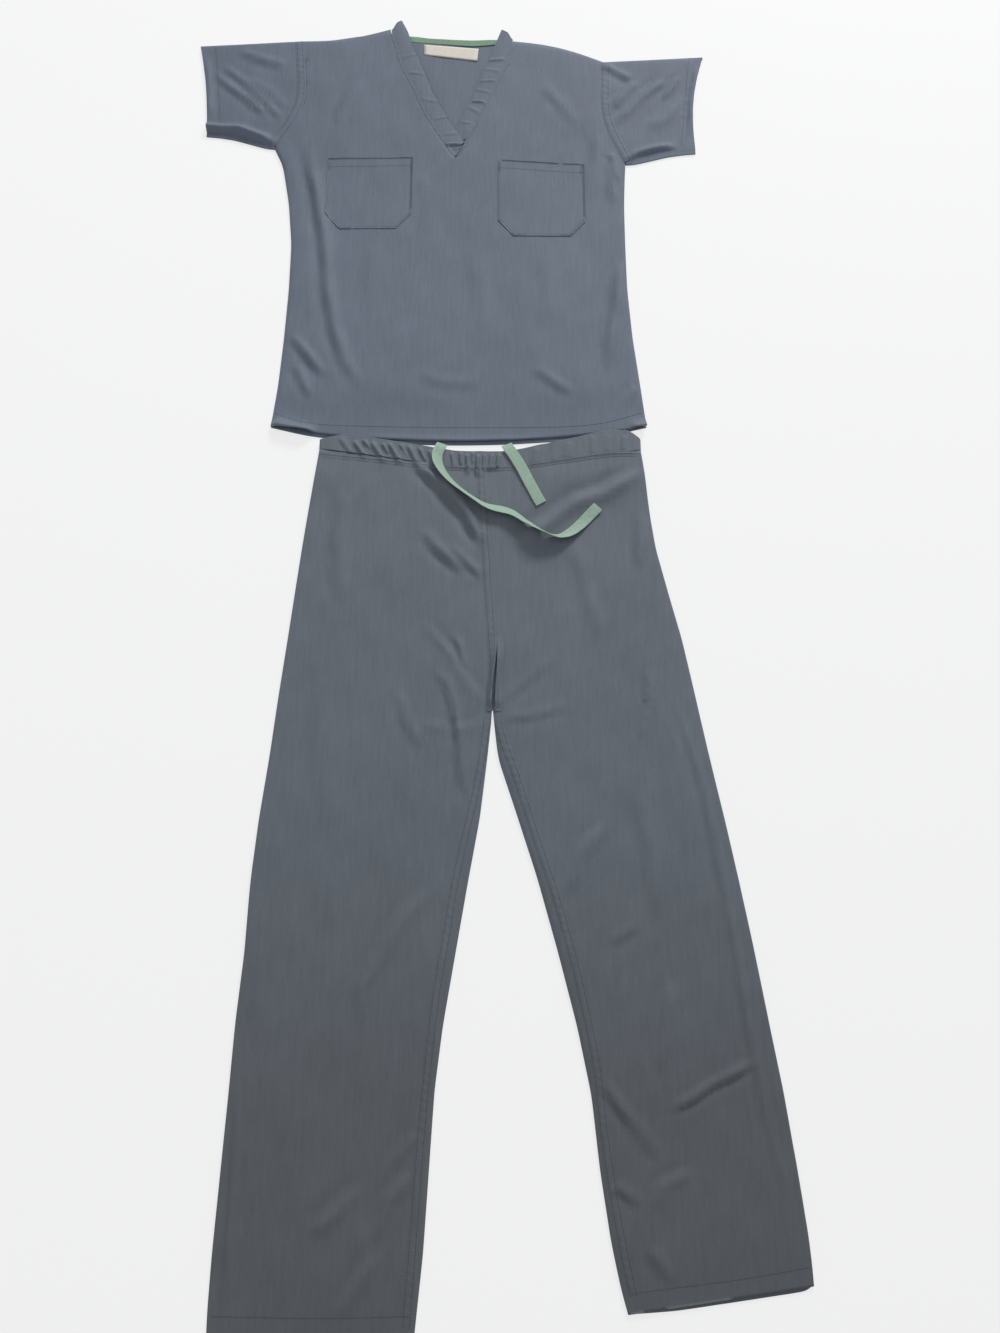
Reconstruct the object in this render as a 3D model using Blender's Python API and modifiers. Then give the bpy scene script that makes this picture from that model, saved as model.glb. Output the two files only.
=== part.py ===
"""Medical scrubs laid flat on a surface: a V-neck top and drawstring trousers.

Units are metres, +Z is up and +Y points to the head end. Right and left are the wearer's, so the
wearer's right side is at -X. The origin lies on the surface, under the middle of the whole set.
Every panel is a grid, moved to its place by a function and given its wall by a Solidify modifier.
"""

import math

import bmesh
import bpy
from mathutils import Vector

# Driving dimensions
WALL = 0.0012            # one layer of cloth
CASING_WALL = 0.0016     # doubled cloth: waistband and neck bands
TRIM_WALL = 0.0010       # tape, label and drawstring
SEAM_GAP = 0.0003        # between two pieces that are sewn together
GATHER_GAP = 0.0006      # between the waistband's rippled lower edge and the legs
LOFT = 0.0052            # top of the upper layer where the two layers lie loosely
CLOSED = 2 * WALL + SEAM_GAP    # top of the upper layer where it meets the lower one
BACK_HEM_SHOWS = 0.005   # how far the back hem of the top reaches below the front hem
UNDERARM_SHOWS = 0.009   # how far a sleeve's back layer shows below its front layer
LEG_HEM_SHOWS = 0.004    # how far the back hem of the left leg shows
CORNER_LIFT = 0.0034     # the trousers' top corners lie on the hem of the top
STRING_WIDTH = 0.015

# The front of the top, from the hem up.
# right side x, y | right middle x, y | left middle x, y | left side x, y | loft | open side | how
# far the row bows down, right and left
TOP_ROWS = (
    (-0.2585, 0.2010, -0.0030, 0.1790, -0.0030, 0.1790, 0.2595, 0.2010, 0.08, 1.0, 0.006, 0.006),
    (-0.2560, 0.2260, -0.0030, 0.2090, -0.0030, 0.2090, 0.2570, 0.2260, 0.15, 1.0, 0.003, 0.003),
    (-0.2520, 0.2650, -0.0030, 0.2550, -0.0030, 0.2550, 0.2530, 0.2650, 0.80, 1.0, 0.0, 0.0),
    (-0.2480, 0.3400, -0.0030, 0.3350, -0.0030, 0.3350, 0.2450, 0.3400, 1.00, 1.0, 0.0, 0.0),
    (-0.2455, 0.4200, -0.0035, 0.4200, -0.0035, 0.4200, 0.2400, 0.4200, 1.00, 1.0, 0.0, 0.0),
    (-0.2460, 0.4950, -0.0045, 0.4950, -0.0045, 0.4950, 0.2395, 0.4950, 1.00, 1.0, 0.0, 0.0),
    (-0.2535, 0.5650, -0.0060, 0.5650, -0.0060, 0.5650, 0.2400, 0.5600, 1.00, 1.0, 0.0, 0.0),
    (-0.2660, 0.6320, -0.0075, 0.6100, -0.0075, 0.6100, 0.2425, 0.6080, 1.00, 1.0, 0.0, 0.0),
    (-0.2800, 0.6620, -0.0085, 0.6420, -0.0085, 0.6420, 0.2445, 0.6340, 1.00, 1.0, 0.0, 0.0),
    (-0.2720, 0.6780, -0.0230, 0.6670, 0.0030, 0.6670, 0.2370, 0.6520, 1.00, 0.3, 0.0, 0.0),
    (-0.2560, 0.7040, -0.0410, 0.6980, 0.0165, 0.6970, 0.2250, 0.6800, 1.00, 0.0, 0.0, 0.0),
    (-0.2420, 0.7420, -0.0575, 0.7280, 0.0305, 0.7310, 0.2150, 0.7120, 1.00, 0.0, 0.0, 0.0),
    (-0.2400, 0.7800, -0.0750, 0.7720, 0.0480, 0.7710, 0.2125, 0.7460, 1.00, 0.0, 0.0, -0.002),
    (-0.2440, 0.8220, -0.0940, 0.8140, 0.0660, 0.8140, 0.2135, 0.7820, 1.00, 0.0, 0.0, -0.004),
    (-0.2475, 0.8500, -0.1050, 0.8560, 0.0745, 0.8430, 0.2155, 0.8100, 1.00, 0.0, 0.003, -0.006),
    (-0.2483, 0.8580, -0.1110, 0.8760, 0.0770, 0.8560, 0.2163, 0.8180, 0.80, 0.0, 0.006, -0.007),
    (-0.2485, 0.8620, -0.1125, 0.8850, 0.0775, 0.8620, 0.2165, 0.8220, 0.00, 0.0, 0.007, -0.008),
)
UNDERARM_ROW = 8         # the side seams end here, and the armholes and the V begin
HALF_SHARES = (0.0, 0.016, 0.05, 0.16, 0.32, 0.50, 0.68, 0.85, 1.0)   # side edge to middle
EDGE_LOFT = (0.0, 0.75, 1.0)      # loft of the columns next to an open edge

# The back of the top from shoulder to shoulder: x, y of its upper edge
BACK_TOP = (
    (-0.2485, 0.8620), (-0.1800, 0.8665), (-0.1125, 0.8850), (-0.0825, 0.8740), (-0.0600, 0.8690),
    (-0.0230, 0.8670), (0.0160, 0.8650), (0.0400, 0.8670), (0.0600, 0.8670), (0.0775, 0.8620),
    (0.1500, 0.8490), (0.2165, 0.8220),
)

# Sleeve cuffs: x, y of the shoulder corner, the underarm corner, how far the cuff bows in, and how
# far the lower edge arches up
CUFF_RIGHT = ((-0.4055, 0.8520), (-0.3840, 0.6930), 0.004, 0.007)
CUFF_LEFT = ((0.3695, 0.8310), (0.3500, 0.6620), 0.009, 0.006)
SLEEVE_STATIONS = (0.0, 0.12, 0.35, 0.6, 0.82, 0.93, 1.0)

# Neck bands from the point of the V up: x, y on the seam | x, y on the free edge
BAND_RIGHT_ROWS = (
    (-0.0089, 0.6445, -0.0081, 0.6450),
    (-0.0182, 0.6600, -0.0012, 0.6600),
    (-0.0250, 0.6710, 0.0034, 0.6725),
    (-0.0405, 0.6980, -0.0095, 0.6960),
    (-0.0571, 0.7283, -0.0205, 0.7140),
    (-0.0746, 0.7722, -0.0455, 0.7640),
    (-0.0936, 0.8142, -0.0625, 0.8150),
    (-0.1046, 0.8561, -0.0770, 0.8500),
    (-0.1106, 0.8761, -0.0855, 0.8780),
    (-0.1121, 0.8880, -0.0955, 0.9000),
)
BAND_LEFT_ROWS = (
    (0.0068, 0.6770, -0.0085, 0.6985),
    (0.0161, 0.6972, -0.0020, 0.7140),
    (0.0301, 0.7312, 0.0105, 0.7450),
    (0.0476, 0.7712, 0.0225, 0.7800),
    (0.0656, 0.8142, 0.0375, 0.8180),
    (0.0741, 0.8432, 0.0460, 0.8430),
    (0.0766, 0.8562, 0.0525, 0.8600),
    (0.0790, 0.8700, 0.0600, 0.8820),
)
BAND_SHARES = (0.0, 0.15, 0.5, 0.85, 1.0)
BAND_LOFT = (0.0, 0.0005, 0.0006, 0.0002, -0.0004)

# Tape over the back neck seam: x | y of the upper edge | y of the lower edge
TAPE_STATIONS = (
    (-0.0860, 0.8725, 0.8620), (-0.0600, 0.8672, 0.8590), (-0.0230, 0.8655, 0.8560),
    (0.0160, 0.8635, 0.8530), (0.0400, 0.8650, 0.8550), (0.0560, 0.8650, 0.8570),
)
LABEL_CORNERS = ((-0.0600, 0.8560), (0.0245, 0.8480), (0.0225, 0.8250), (-0.0595, 0.8370))

# Patch pockets: x of the two sides | y of the bottom | y of the mouth at the two sides
POCKET_RIGHT = (-0.1985, -0.0725, 0.5190, 0.6410, 0.6440)
POCKET_LEFT = (0.0550, 0.1825, 0.5070, 0.6390, 0.6310)
POCKET_CHAMFER = (0.022, 0.026)      # width and height of the cut corners
POCKET_COLUMNS = (0.0, 0.172, 0.5, 0.828, 1.0)

# Trouser legs from the waist seam down: outer x, y | inner x, y | loft | open inner edge
RIGHT_LEG_ROWS = (
    (-0.1895, 0.1650, 0.0275, 0.1345, 0.60, 0.0),
    (-0.1935, 0.1300, 0.0285, 0.1050, 1.00, 0.0),
    (-0.2005, 0.0760, 0.0315, 0.0600, 1.00, 0.0),
    (-0.2065, 0.0220, 0.0345, 0.0100, 1.00, 0.0),
    (-0.2125, -0.0410, 0.0385, -0.0500, 1.00, 0.0),
    (-0.2185, -0.1040, 0.0425, -0.1100, 1.00, 0.0),
    (-0.2250, -0.1680, 0.0460, -0.1700, 1.00, 0.0),
    (-0.2280, -0.2000, 0.0475, -0.2020, 1.00, 0.4),
    (-0.2330, -0.2570, 0.0415, -0.2600, 1.00, 1.0),
    (-0.2415, -0.3360, 0.0325, -0.3350, 1.00, 1.0),
    (-0.2470, -0.4100, 0.0180, -0.4150, 1.00, 1.0),
    (-0.2490, -0.4950, 0.0035, -0.5000, 1.00, 1.0),
    (-0.2545, -0.5750, -0.0100, -0.5800, 1.00, 1.0),
    (-0.2570, -0.6500, -0.0185, -0.6500, 1.00, 1.0),
    (-0.2605, -0.7350, -0.0235, -0.7350, 1.00, 1.0),
    (-0.2640, -0.8200, -0.0285, -0.8200, 1.00, 1.0),
    (-0.2650, -0.8750, -0.0340, -0.8750, 0.50, 1.0),
    (-0.2645, -0.9000, -0.0365, -0.9000, 0.15, 1.0),
)
LEFT_LEG_ROWS = (
    (0.2500, 0.1630, 0.0281, 0.1345, 0.60, 0.0),
    (0.2545, 0.1260, 0.0291, 0.1050, 1.00, 0.0),
    (0.2590, 0.0710, 0.0321, 0.0600, 1.00, 0.0),
    (0.2650, 0.0220, 0.0351, 0.0100, 1.00, 0.0),
    (0.2800, -0.0450, 0.0391, -0.0500, 1.00, 0.0),
    (0.2940, -0.1040, 0.0431, -0.1100, 1.00, 0.0),
    (0.3055, -0.1680, 0.0466, -0.1700, 1.00, 0.0),
    (0.3110, -0.2000, 0.0485, -0.2020, 1.00, 0.4),
    (0.3210, -0.2570, 0.0550, -0.2600, 1.00, 1.0),
    (0.3360, -0.3360, 0.0790, -0.3330, 1.00, 1.0),
    (0.3490, -0.4100, 0.1030, -0.4080, 1.00, 1.0),
    (0.3620, -0.4900, 0.1270, -0.4950, 1.00, 1.0),
    (0.3745, -0.5750, 0.1485, -0.5800, 1.00, 1.0),
    (0.3860, -0.6500, 0.1635, -0.6550, 1.00, 1.0),
    (0.3955, -0.7300, 0.1715, -0.7350, 1.00, 1.0),
    (0.4030, -0.8000, 0.1820, -0.8080, 1.00, 1.0),
    (0.4050, -0.8300, 0.1915, -0.8540, 0.50, 1.0),
    (0.4055, -0.8510, 0.1985, -0.8790, 0.15, 1.0),
)
LEG_SHARES = (0.0, 0.02, 0.06, 0.20, 0.36, 0.52, 0.68, 0.84, 0.95)    # inner edge to outer fold
LEG_BACK_SHARES = (0.95, 0.6, 0.25, 0.0)
FOLD_ANGLES = (90, 45, 0, -45, -90)

# Upper edge of the waistband: x, y
WAIST_TOP = (
    (-0.1895, 0.1800), (-0.1500, 0.1890), (-0.1000, 0.1790), (-0.0455, 0.1710), (-0.0200, 0.1665),
    (0.0025, 0.1635), (0.0645, 0.1630), (0.0850, 0.1660), (0.1005, 0.1695), (0.1385, 0.1770),
    (0.2055, 0.1940), (0.2355, 0.1930), (0.2500, 0.1800),
)
WAIST_DIP = (0.020, 0.035, 0.115)    # x of the middle, half widths where the dip is full and gone
WAIST_COLUMNS = 48
WAIST_BACK_COLUMNS = 10
WAIST_ROWS = 4
WAIST_GAP = 0.0012       # between the casing's front and back
GATHERS = ((0.0255, 0.0, 0.35), (0.0163, 1.3, 0.25))     # pitch, phase, share of the height
GATHER_HEIGHT = 0.0011

# Broad folds of the upper layer: from x, y | to x, y | width | height
FOLDS = (
    (-0.2150, 0.4500, -0.1850, 0.2700, 0.034, 0.0012),
    (0.2350, -0.0100, 0.1500, 0.0000, 0.030, 0.0016),
    (-0.1300, 0.0900, -0.0600, -0.0200, 0.030, 0.0012),
    (-0.1900, -0.3000, -0.2050, -0.6500, 0.040, 0.0014),
    (0.2900, -0.3000, 0.3350, -0.6500, 0.040, 0.0014),
    (-0.0800, -0.5200, -0.1300, -0.7200, 0.036, 0.0012),
)

# Drawstring ends from the waistband's upper edge: x, y | clearance of the lower edge over the loft
# of the cloth | tilt in degrees
STRING_RIGHT_ROUTE = (
    (-0.0215, 0.1750, -0.0016, 0), (-0.0240, 0.1680, 0.0014, 3), (-0.0280, 0.1565, 0.0014, 14),
    (-0.0262, 0.1425, 0.0013, 34), (-0.0178, 0.1265, 0.0007, 48), (-0.0055, 0.1120, 0.0006, 56),
    (0.0085, 0.1000, 0.0006, 60), (0.0235, 0.0890, 0.0006, 58), (0.0365, 0.0808, 0.0006, 50),
    (0.0490, 0.0768, 0.0006, 38), (0.0610, 0.0745, 0.0006, 34), (0.0725, 0.0705, 0.0006, 40),
    (0.0835, 0.0633, 0.0006, 48), (0.0965, 0.0525, 0.0006, 56), (0.1100, 0.0435, 0.0008, 64),
    (0.1240, 0.0378, 0.0010, 66), (0.1375, 0.0362, 0.0008, 50), (0.1510, 0.0425, 0.0006, 26),
    (0.1650, 0.0545, 0.0006, 10), (0.1775, 0.0675, 0.0006, 0), (0.1890, 0.0795, 0.0006, 0),
)
STRING_LEFT_ROUTE = (
    (0.0665, 0.1735, -0.0016, 0), (0.0695, 0.1665, 0.0015, 0), (0.0750, 0.1580, 0.0018, 0),
    (0.0815, 0.1470, 0.0016, 0), (0.0880, 0.1350, 0.0013, 0), (0.0950, 0.1200, 0.0009, 0),
    (0.1020, 0.1060, 0.0006, 0), (0.1080, 0.0940, 0.0006, 0), (0.1130, 0.0850, 0.0006, 0),
)

# Colours are linear red, green, blue
COLOURS = {
    "scrub_cloth": (0.128, 0.148, 0.185, 0.85),
    "mint_string": (0.340, 0.500, 0.370, 0.80),
    "green_tape": (0.220, 0.400, 0.230, 0.80),
    "cream_label": (0.820, 0.790, 0.730, 0.75),
}


def smooth(value):
    """A soft step from 0 to 1."""
    value = max(0.0, min(1.0, value))
    return value * value * (3 - 2 * value)


def mix(a, b, share):
    return a + (b - a) * share


def along(table, x):
    """y at x on a line through the table's points."""
    for (x0, y0), (x1, y1) in zip(table, table[1:]):
        if x <= x1:
            return mix(y0, y1, max(0.0, (x - x0) / (x1 - x0)))
    return table[-1][1]


def fold_height(x, y):
    """How far the broad folds raise the upper layer at a point."""
    height = 0.0
    for x0, y0, x1, y1, width, tall in FOLDS:
        run_x, run_y = x1 - x0, y1 - y0
        share = ((x - x0) * run_x + (y - y0) * run_y) / (run_x**2 + run_y**2)
        share = max(0.0, min(1.0, share))
        distance = math.hypot(x - x0 - share * run_x, y - y0 - share * run_y)
        height += tall * math.exp(-((distance / width) ** 2))
    return height


def waist_lift(x):
    """Height of the trousers' underside at the waist, over the hem of the top at both corners."""
    middle, full, gone = WAIST_DIP
    return CORNER_LIFT * smooth((abs(x - middle) - full) / (gone - full))


def corner_lift(x, y):
    """The same lift on the legs, running out below the waist."""
    return waist_lift(x) * smooth((y - 0.06) / 0.09)


def make_collection(name):
    collection = bpy.data.collections.new(name)
    bpy.context.scene.collection.children.link(collection)
    return collection


def make_material(name):
    red, green, blue, roughness = COLOURS[name]
    material = bpy.data.materials.new(name)
    material.use_nodes = True
    shader = material.node_tree.nodes["Principled BSDF"]
    shader.inputs["Base Color"].default_value = (red, green, blue, 1.0)
    shader.inputs["Roughness"].default_value = roughness
    shader.inputs["Metallic"].default_value = 0.0
    return material


def make_cloth(name, columns, rows, place, look, wall=WALL, outside_up=True, slit=None, ring=False):
    """A grid whose point at a column and a row goes to place(column, row), with its wall inside.

    outside_up says whether the grid's own up side is the cloth's outer side. slit removes the faces
    after that column, and ring closes the last column on the first.
    """
    bpy.ops.mesh.primitive_grid_add(x_subdivisions=columns - 1, y_subdivisions=rows - 1, size=1.0)
    panel = bpy.context.object
    panel.name = name
    panel.data.name = name
    shape = bmesh.new()
    shape.from_mesh(panel.data)
    if slit is not None:
        left, right = (step / (columns - 1) - 0.5 for step in (slit, slit + 1))
        middle = [face for face in shape.faces if left < face.calc_center_median().x < right]
        bmesh.ops.delete(shape, geom=middle, context="FACES_ONLY")
    for point in shape.verts:
        column = round((point.co.x + 0.5) * (columns - 1))
        row = round((point.co.y + 0.5) * (rows - 1))
        point.co = Vector(place(column, row))
    if not outside_up:
        bmesh.ops.reverse_faces(shape, faces=shape.faces)
    shape.to_mesh(panel.data)
    shape.free()
    if slit is not None or ring:
        weld = panel.modifiers.new("seam", "WELD")
        weld.merge_threshold = 0.00005
    thicken = panel.modifiers.new("wall", "SOLIDIFY")
    thicken.thickness = wall
    thicken.offset = -1.0
    thicken.use_even_offset = True
    panel.data.materials.append(looks[look])
    panel.data.shade_smooth()
    for holder in list(panel.users_collection):
        holder.objects.unlink(panel)
    scrubs.objects.link(panel)
    return panel


def make_top_front():
    """The front: one column of points for each share, right half and then left half."""
    count = len(HALF_SHARES)

    def place(column, row):
        rsx, rsy, rmx, rmy, lmx, lmy, lsx, lsy, loft, open_side, right_bow, left_bow = TOP_ROWS[row]
        if column < count:
            index = column
            side, middle, bow = (rsx, rsy), (rmx, rmy), right_bow
        else:
            index = 2 * count - 1 - column
            side, middle, bow = (lsx, lsy), (lmx, lmy), left_bow
        share = HALF_SHARES[index]
        x = mix(side[0], middle[0], share)
        y = mix(side[1], middle[1], share) - bow * math.sin(math.pi * share)
        edge = EDGE_LOFT[index] if index < len(EDGE_LOFT) else 1.0
        rise = loft * (1 - (1 - edge) * open_side)
        return x, y, CLOSED + (LOFT - CLOSED) * rise + fold_height(x, y) * rise

    return make_cloth("top_front", 2 * count, len(TOP_ROWS), place, "scrub_cloth", slit=count - 1)


def make_top_back():
    """The back: flat on the surface, its hem a little longer than the front's."""
    shares = (0.0, 0.1, 0.22, 0.36, 0.43, 0.5, 0.57, 0.64, 0.78, 0.9, 1.0)
    top_row = len(TOP_ROWS) - 1

    def place(column, row):
        rsx, rsy, mx, my, _, _, lsx, lsy, _, _, bow, _ = TOP_ROWS[row]
        share = shares[column]
        x = mix(rsx, lsx, share)
        shoulder_line = mix(rsy, lsy, share)
        if row <= UNDERARM_ROW:
            half = abs(share - 0.5) * 2
            y = mix(my, rsy if share < 0.5 else lsy, half) - bow * math.sin(math.pi * half)
            show = BACK_HEM_SHOWS if row == 0 else 0.0
            y -= show * smooth((1 - half) / 0.1)
            return x, y, 0.0
        x0 = mix(TOP_ROWS[top_row][0], TOP_ROWS[top_row][6], share)
        raised = (row - UNDERARM_ROW) / (top_row - UNDERARM_ROW)
        at_top = along(BACK_TOP, x0) - mix(TOP_ROWS[top_row][1], TOP_ROWS[top_row][7], share)
        return x, shoulder_line + at_top * raised**3, 0.0

    return make_cloth("top_back", len(shares), len(TOP_ROWS), place, "scrub_cloth", outside_up=False)


def make_sleeve(name, side_column, cuff, out):
    """A flattened tube: out is -1 on the wearer's right and 1 on the left."""
    corner_top, corner_under, bow, arch = cuff
    armhole = []
    for row in TOP_ROWS[:UNDERARM_ROW - 1:-1]:
        x, y = row[side_column:side_column + 2]
        armhole.append((x + out * SEAM_GAP, y, CLOSED + (LOFT - CLOSED) * row[8] * (1 - row[9])))
    top, under = armhole[0][1], armhole[-1][1]
    loop = []
    for x, y, z in armhole:
        loop.append((x, y, z, (top - y) / (top - under), 0.0))
    under_x = armhole[-1][0]
    shelf = ((0.35, 0.0022), (0.9, 0.0020), (1.0, 0.0011), (0.85, 0.0))
    for reach, z in shelf:
        loop.append((under_x, under, z, 1.0, reach * UNDERARM_SHOWS))
    for x, y, z in armhole[-1:0:-1]:
        loop.append((x, y, 0.0, (top - y) / (top - under), 0.0))

    def place(column, row):
        x, y, z, share, drop = loop[column % len(loop)]
        run = SLEEVE_STATIONS[row]
        cuff_x = mix(corner_top[0], corner_under[0], share) - out * bow * math.sin(math.pi * share)
        cuff_y = mix(corner_top[1], corner_under[1], share)
        height = mix(z, min(z, CLOSED + 0.0004), smooth((run - 0.6) / 0.4))
        lower = arch * math.sin(math.pi * run) * share**3 - drop * smooth(run / 0.2)
        return mix(x, cuff_x, run), mix(y, cuff_y, run) + lower, height

    return make_cloth(name, len(loop) + 1, len(SLEEVE_STATIONS), place, "scrub_cloth",
                      outside_up=out > 0, ring=True)


def make_neck_band(name, table, out):
    def place(column, row):
        seam_x, seam_y, free_x, free_y = table[row]
        share = BAND_SHARES[column]
        z = LOFT + CASING_WALL - WALL + BAND_LOFT[column]
        return mix(seam_x, free_x, share), mix(seam_y, free_y, share), z

    return make_cloth(name, len(BAND_SHARES), len(table), place, "scrub_cloth", CASING_WALL,
                      outside_up=out < 0)


def make_neck_tape():
    def place(column, row):
        x, upper, lower = TAPE_STATIONS[column]
        return x, mix(lower, upper, row / 2), WALL + SEAM_GAP + TRIM_WALL

    return make_cloth("neck_tape", len(TAPE_STATIONS), 3, place, "green_tape", TRIM_WALL)


def make_neck_label():
    upper_left, upper_right, lower_right, lower_left = (Vector(c) for c in LABEL_CORNERS)

    def place(column, row):
        low = lower_left.lerp(lower_right, column / 4)
        high = upper_left.lerp(upper_right, column / 4)
        x, y = low.lerp(high, row / 2)
        return x, y, WALL + SEAM_GAP + TRIM_WALL

    return make_cloth("neck_label", 5, 3, place, "cream_label", TRIM_WALL)


def make_pocket(name, sizes):
    """A patch on the front panel, its two lower corners cut off."""
    x0, x1, bottom, mouth0, mouth1 = sizes
    cut_width, cut_height = POCKET_CHAMFER
    cut_share = cut_height / (mouth0 - bottom)
    rows = (0.0, cut_share, 0.45, 0.7, 0.88, 1.0)

    def place(column, row):
        share = POCKET_COLUMNS[column]
        inset = cut_width if row == 0 else 0.0
        x = mix(x0 + inset, x1 - inset, share)
        y = mix(bottom, mix(mouth0, mouth1, share), rows[row])
        return x, y, LOFT + SEAM_GAP + WALL

    return make_cloth(name, len(POCKET_COLUMNS), len(rows), place, "scrub_cloth")


def make_leg(name, table, out):
    """One leg as a single piece: front layer, outer fold and back layer, open along the inner edge."""
    front = len(LEG_SHARES)
    fold = len(FOLD_ANGLES)
    last = len(table) - 1

    def place(column, row):
        outer_x, outer_y, inner_x, inner_y, loft, open_edge = table[row]
        top = CLOSED + (LOFT - CLOSED) * loft
        radius = top / 2
        if column < front:
            share = LEG_SHARES[column]
            x, y = mix(inner_x, outer_x, share), mix(inner_y, outer_y, share)
            edge = EDGE_LOFT[column] if column < len(EDGE_LOFT) else 1.0
            z = mix(top, CLOSED, (1 - edge) * open_edge) + fold_height(x, y) * loft * edge
        elif column < front + fold:
            angle = math.radians(FOLD_ANGLES[column - front])
            inset = radius * (1 - math.cos(angle))
            x, y, z = outer_x - out * inset, outer_y, radius * (1 + math.sin(angle))
        else:
            share = LEG_BACK_SHARES[column - front - fold]
            x, y, z = mix(inner_x, outer_x, share), mix(inner_y, outer_y, share), 0.0
            if row == last and out > 0:
                y -= LEG_HEM_SHOWS * smooth(share / 0.3)
        return x, y, z + corner_lift(x, y)

    columns = front + fold + len(LEG_BACK_SHARES)
    return make_cloth(name, columns, len(table), place, "scrub_cloth", outside_up=out < 0)


def make_waistband():
    """The gathered casing: a flattened ring that dips between its two lifted corners."""
    left, right = WAIST_TOP[0][0], WAIST_TOP[-1][0]
    middle_x, middle_y = RIGHT_LEG_ROWS[0][2:4]
    height = 2 * CASING_WALL + WAIST_GAP
    ring = []
    for step in range(WAIST_COLUMNS + 1):
        ring.append((mix(left, right, step / WAIST_COLUMNS), 1.0))
    ring[0] = (left + 0.0016, 0.96)
    ring[-1] = (right - 0.0016, 0.96)
    ring += [(right, 0.5), (right - 0.0016, 0.0)]
    for step in range(1, WAIST_BACK_COLUMNS):
        ring.append((mix(right, left, step / WAIST_BACK_COLUMNS), 0.0))
    ring += [(left + 0.0016, 0.0), (left, 0.5)]

    def place(column, row):
        x, level = ring[column % len(ring)]
        if x < middle_x:
            seam_y = mix(RIGHT_LEG_ROWS[0][1], middle_y, (x - left) / (middle_x - left))
        else:
            seam_y = mix(middle_y, LEFT_LEG_ROWS[0][1], (x - middle_x) / (right - middle_x))
        run = row / (WAIST_ROWS - 1)
        y = mix(seam_y + GATHER_GAP, along(WAIST_TOP, x), run)
        ripple = sum(share * math.sin(math.tau * x / pitch + phase) for pitch, phase, share in GATHERS)
        in_from_ends = smooth(min(x - left, right - x) / 0.02)
        gather = GATHER_HEIGHT * (0.6 + ripple) * in_from_ends if level == 1.0 else 0.0
        return x, y, waist_lift(x) + level * height + gather

    return make_cloth("waistband", len(ring) + 1, WAIST_ROWS, place, "scrub_cloth", CASING_WALL,
                      ring=True)


def make_string(name, route):
    """A flat woven tape that follows its route, tilted where the tape twists on to its edge."""
    points = []
    for x, y, clearance, tilt in route:
        rise = TRIM_WALL / 2 + STRING_WIDTH / 2 * math.sin(math.radians(tilt))
        points.append(Vector((x, y, LOFT + corner_lift(x, y) + clearance + rise)))

    def place(column, row):
        before, after = points[max(0, row - 1)], points[min(len(points) - 1, row + 1)]
        run = (after - before).normalized()
        across = run.cross(Vector((0, 0, 1))).normalized()
        up = across.cross(run)
        tilt = math.radians(route[row][3])
        aside = across * math.cos(tilt) + up * math.sin(tilt)
        return points[row] + aside * (STRING_WIDTH / 2) * (1 - column)

    string = make_cloth(name, 3, len(route), place, "mint_string", TRIM_WALL)
    string.modifiers["wall"].offset = 0.0
    return string


for startup_object in list(bpy.data.objects):
    bpy.data.objects.remove(startup_object, do_unlink=True)
scrubs = make_collection("medical_scrubs")
looks = {name: make_material(name) for name in COLOURS}

make_top_back()
make_top_front()
make_sleeve("sleeve_right", 0, CUFF_RIGHT, -1)
make_sleeve("sleeve_left", 6, CUFF_LEFT, 1)
make_neck_band("neck_band_right", BAND_RIGHT_ROWS, -1)
make_neck_band("neck_band_left", BAND_LEFT_ROWS, 1)
make_neck_tape()
make_neck_label()
make_pocket("pocket_right", POCKET_RIGHT)
make_pocket("pocket_left", POCKET_LEFT)
make_leg("leg_right", RIGHT_LEG_ROWS, -1)
make_leg("leg_left", LEFT_LEG_ROWS, 1)
make_waistband()
make_string("drawstring_right_end", STRING_RIGHT_ROUTE)
make_string("drawstring_left_end", STRING_LEFT_ROUTE)
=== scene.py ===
# %% [markdown]
# # Medical scrubs, laid flat
# A set of scrubs is two garments of one plain poly-cotton: a V-neck top and drawstring trousers.
# They lie on their backs on the floor, the trousers' waist over the hem of the top.
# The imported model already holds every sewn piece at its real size. This lesson turns those plain
# solids into cloth: creased, seamed, stitched and woven. First the model is loaded.

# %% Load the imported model
import math

import bmesh
import bpy
import numpy as np
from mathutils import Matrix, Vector
from mathutils.bvhtree import BVHTree


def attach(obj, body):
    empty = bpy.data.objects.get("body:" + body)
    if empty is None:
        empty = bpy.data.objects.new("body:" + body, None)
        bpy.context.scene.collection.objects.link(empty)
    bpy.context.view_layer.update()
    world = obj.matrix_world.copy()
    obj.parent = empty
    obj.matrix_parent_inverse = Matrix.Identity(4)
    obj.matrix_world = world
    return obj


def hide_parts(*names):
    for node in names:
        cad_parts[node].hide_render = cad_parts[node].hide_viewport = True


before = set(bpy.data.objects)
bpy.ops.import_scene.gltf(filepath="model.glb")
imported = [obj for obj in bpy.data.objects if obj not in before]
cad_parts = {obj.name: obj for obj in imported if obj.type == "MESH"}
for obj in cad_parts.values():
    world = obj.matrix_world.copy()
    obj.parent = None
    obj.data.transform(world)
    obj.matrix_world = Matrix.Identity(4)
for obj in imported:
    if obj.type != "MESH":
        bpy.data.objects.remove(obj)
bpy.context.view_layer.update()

# %% [markdown]
# ## The camera
# The set was seen from just above, a little from the foot end, so the feet are seen straight down
# and the shoulders at a slant. A camera in Blender looks down its own -Z, so one turn about X
# tips it from straight down towards the head end.

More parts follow.
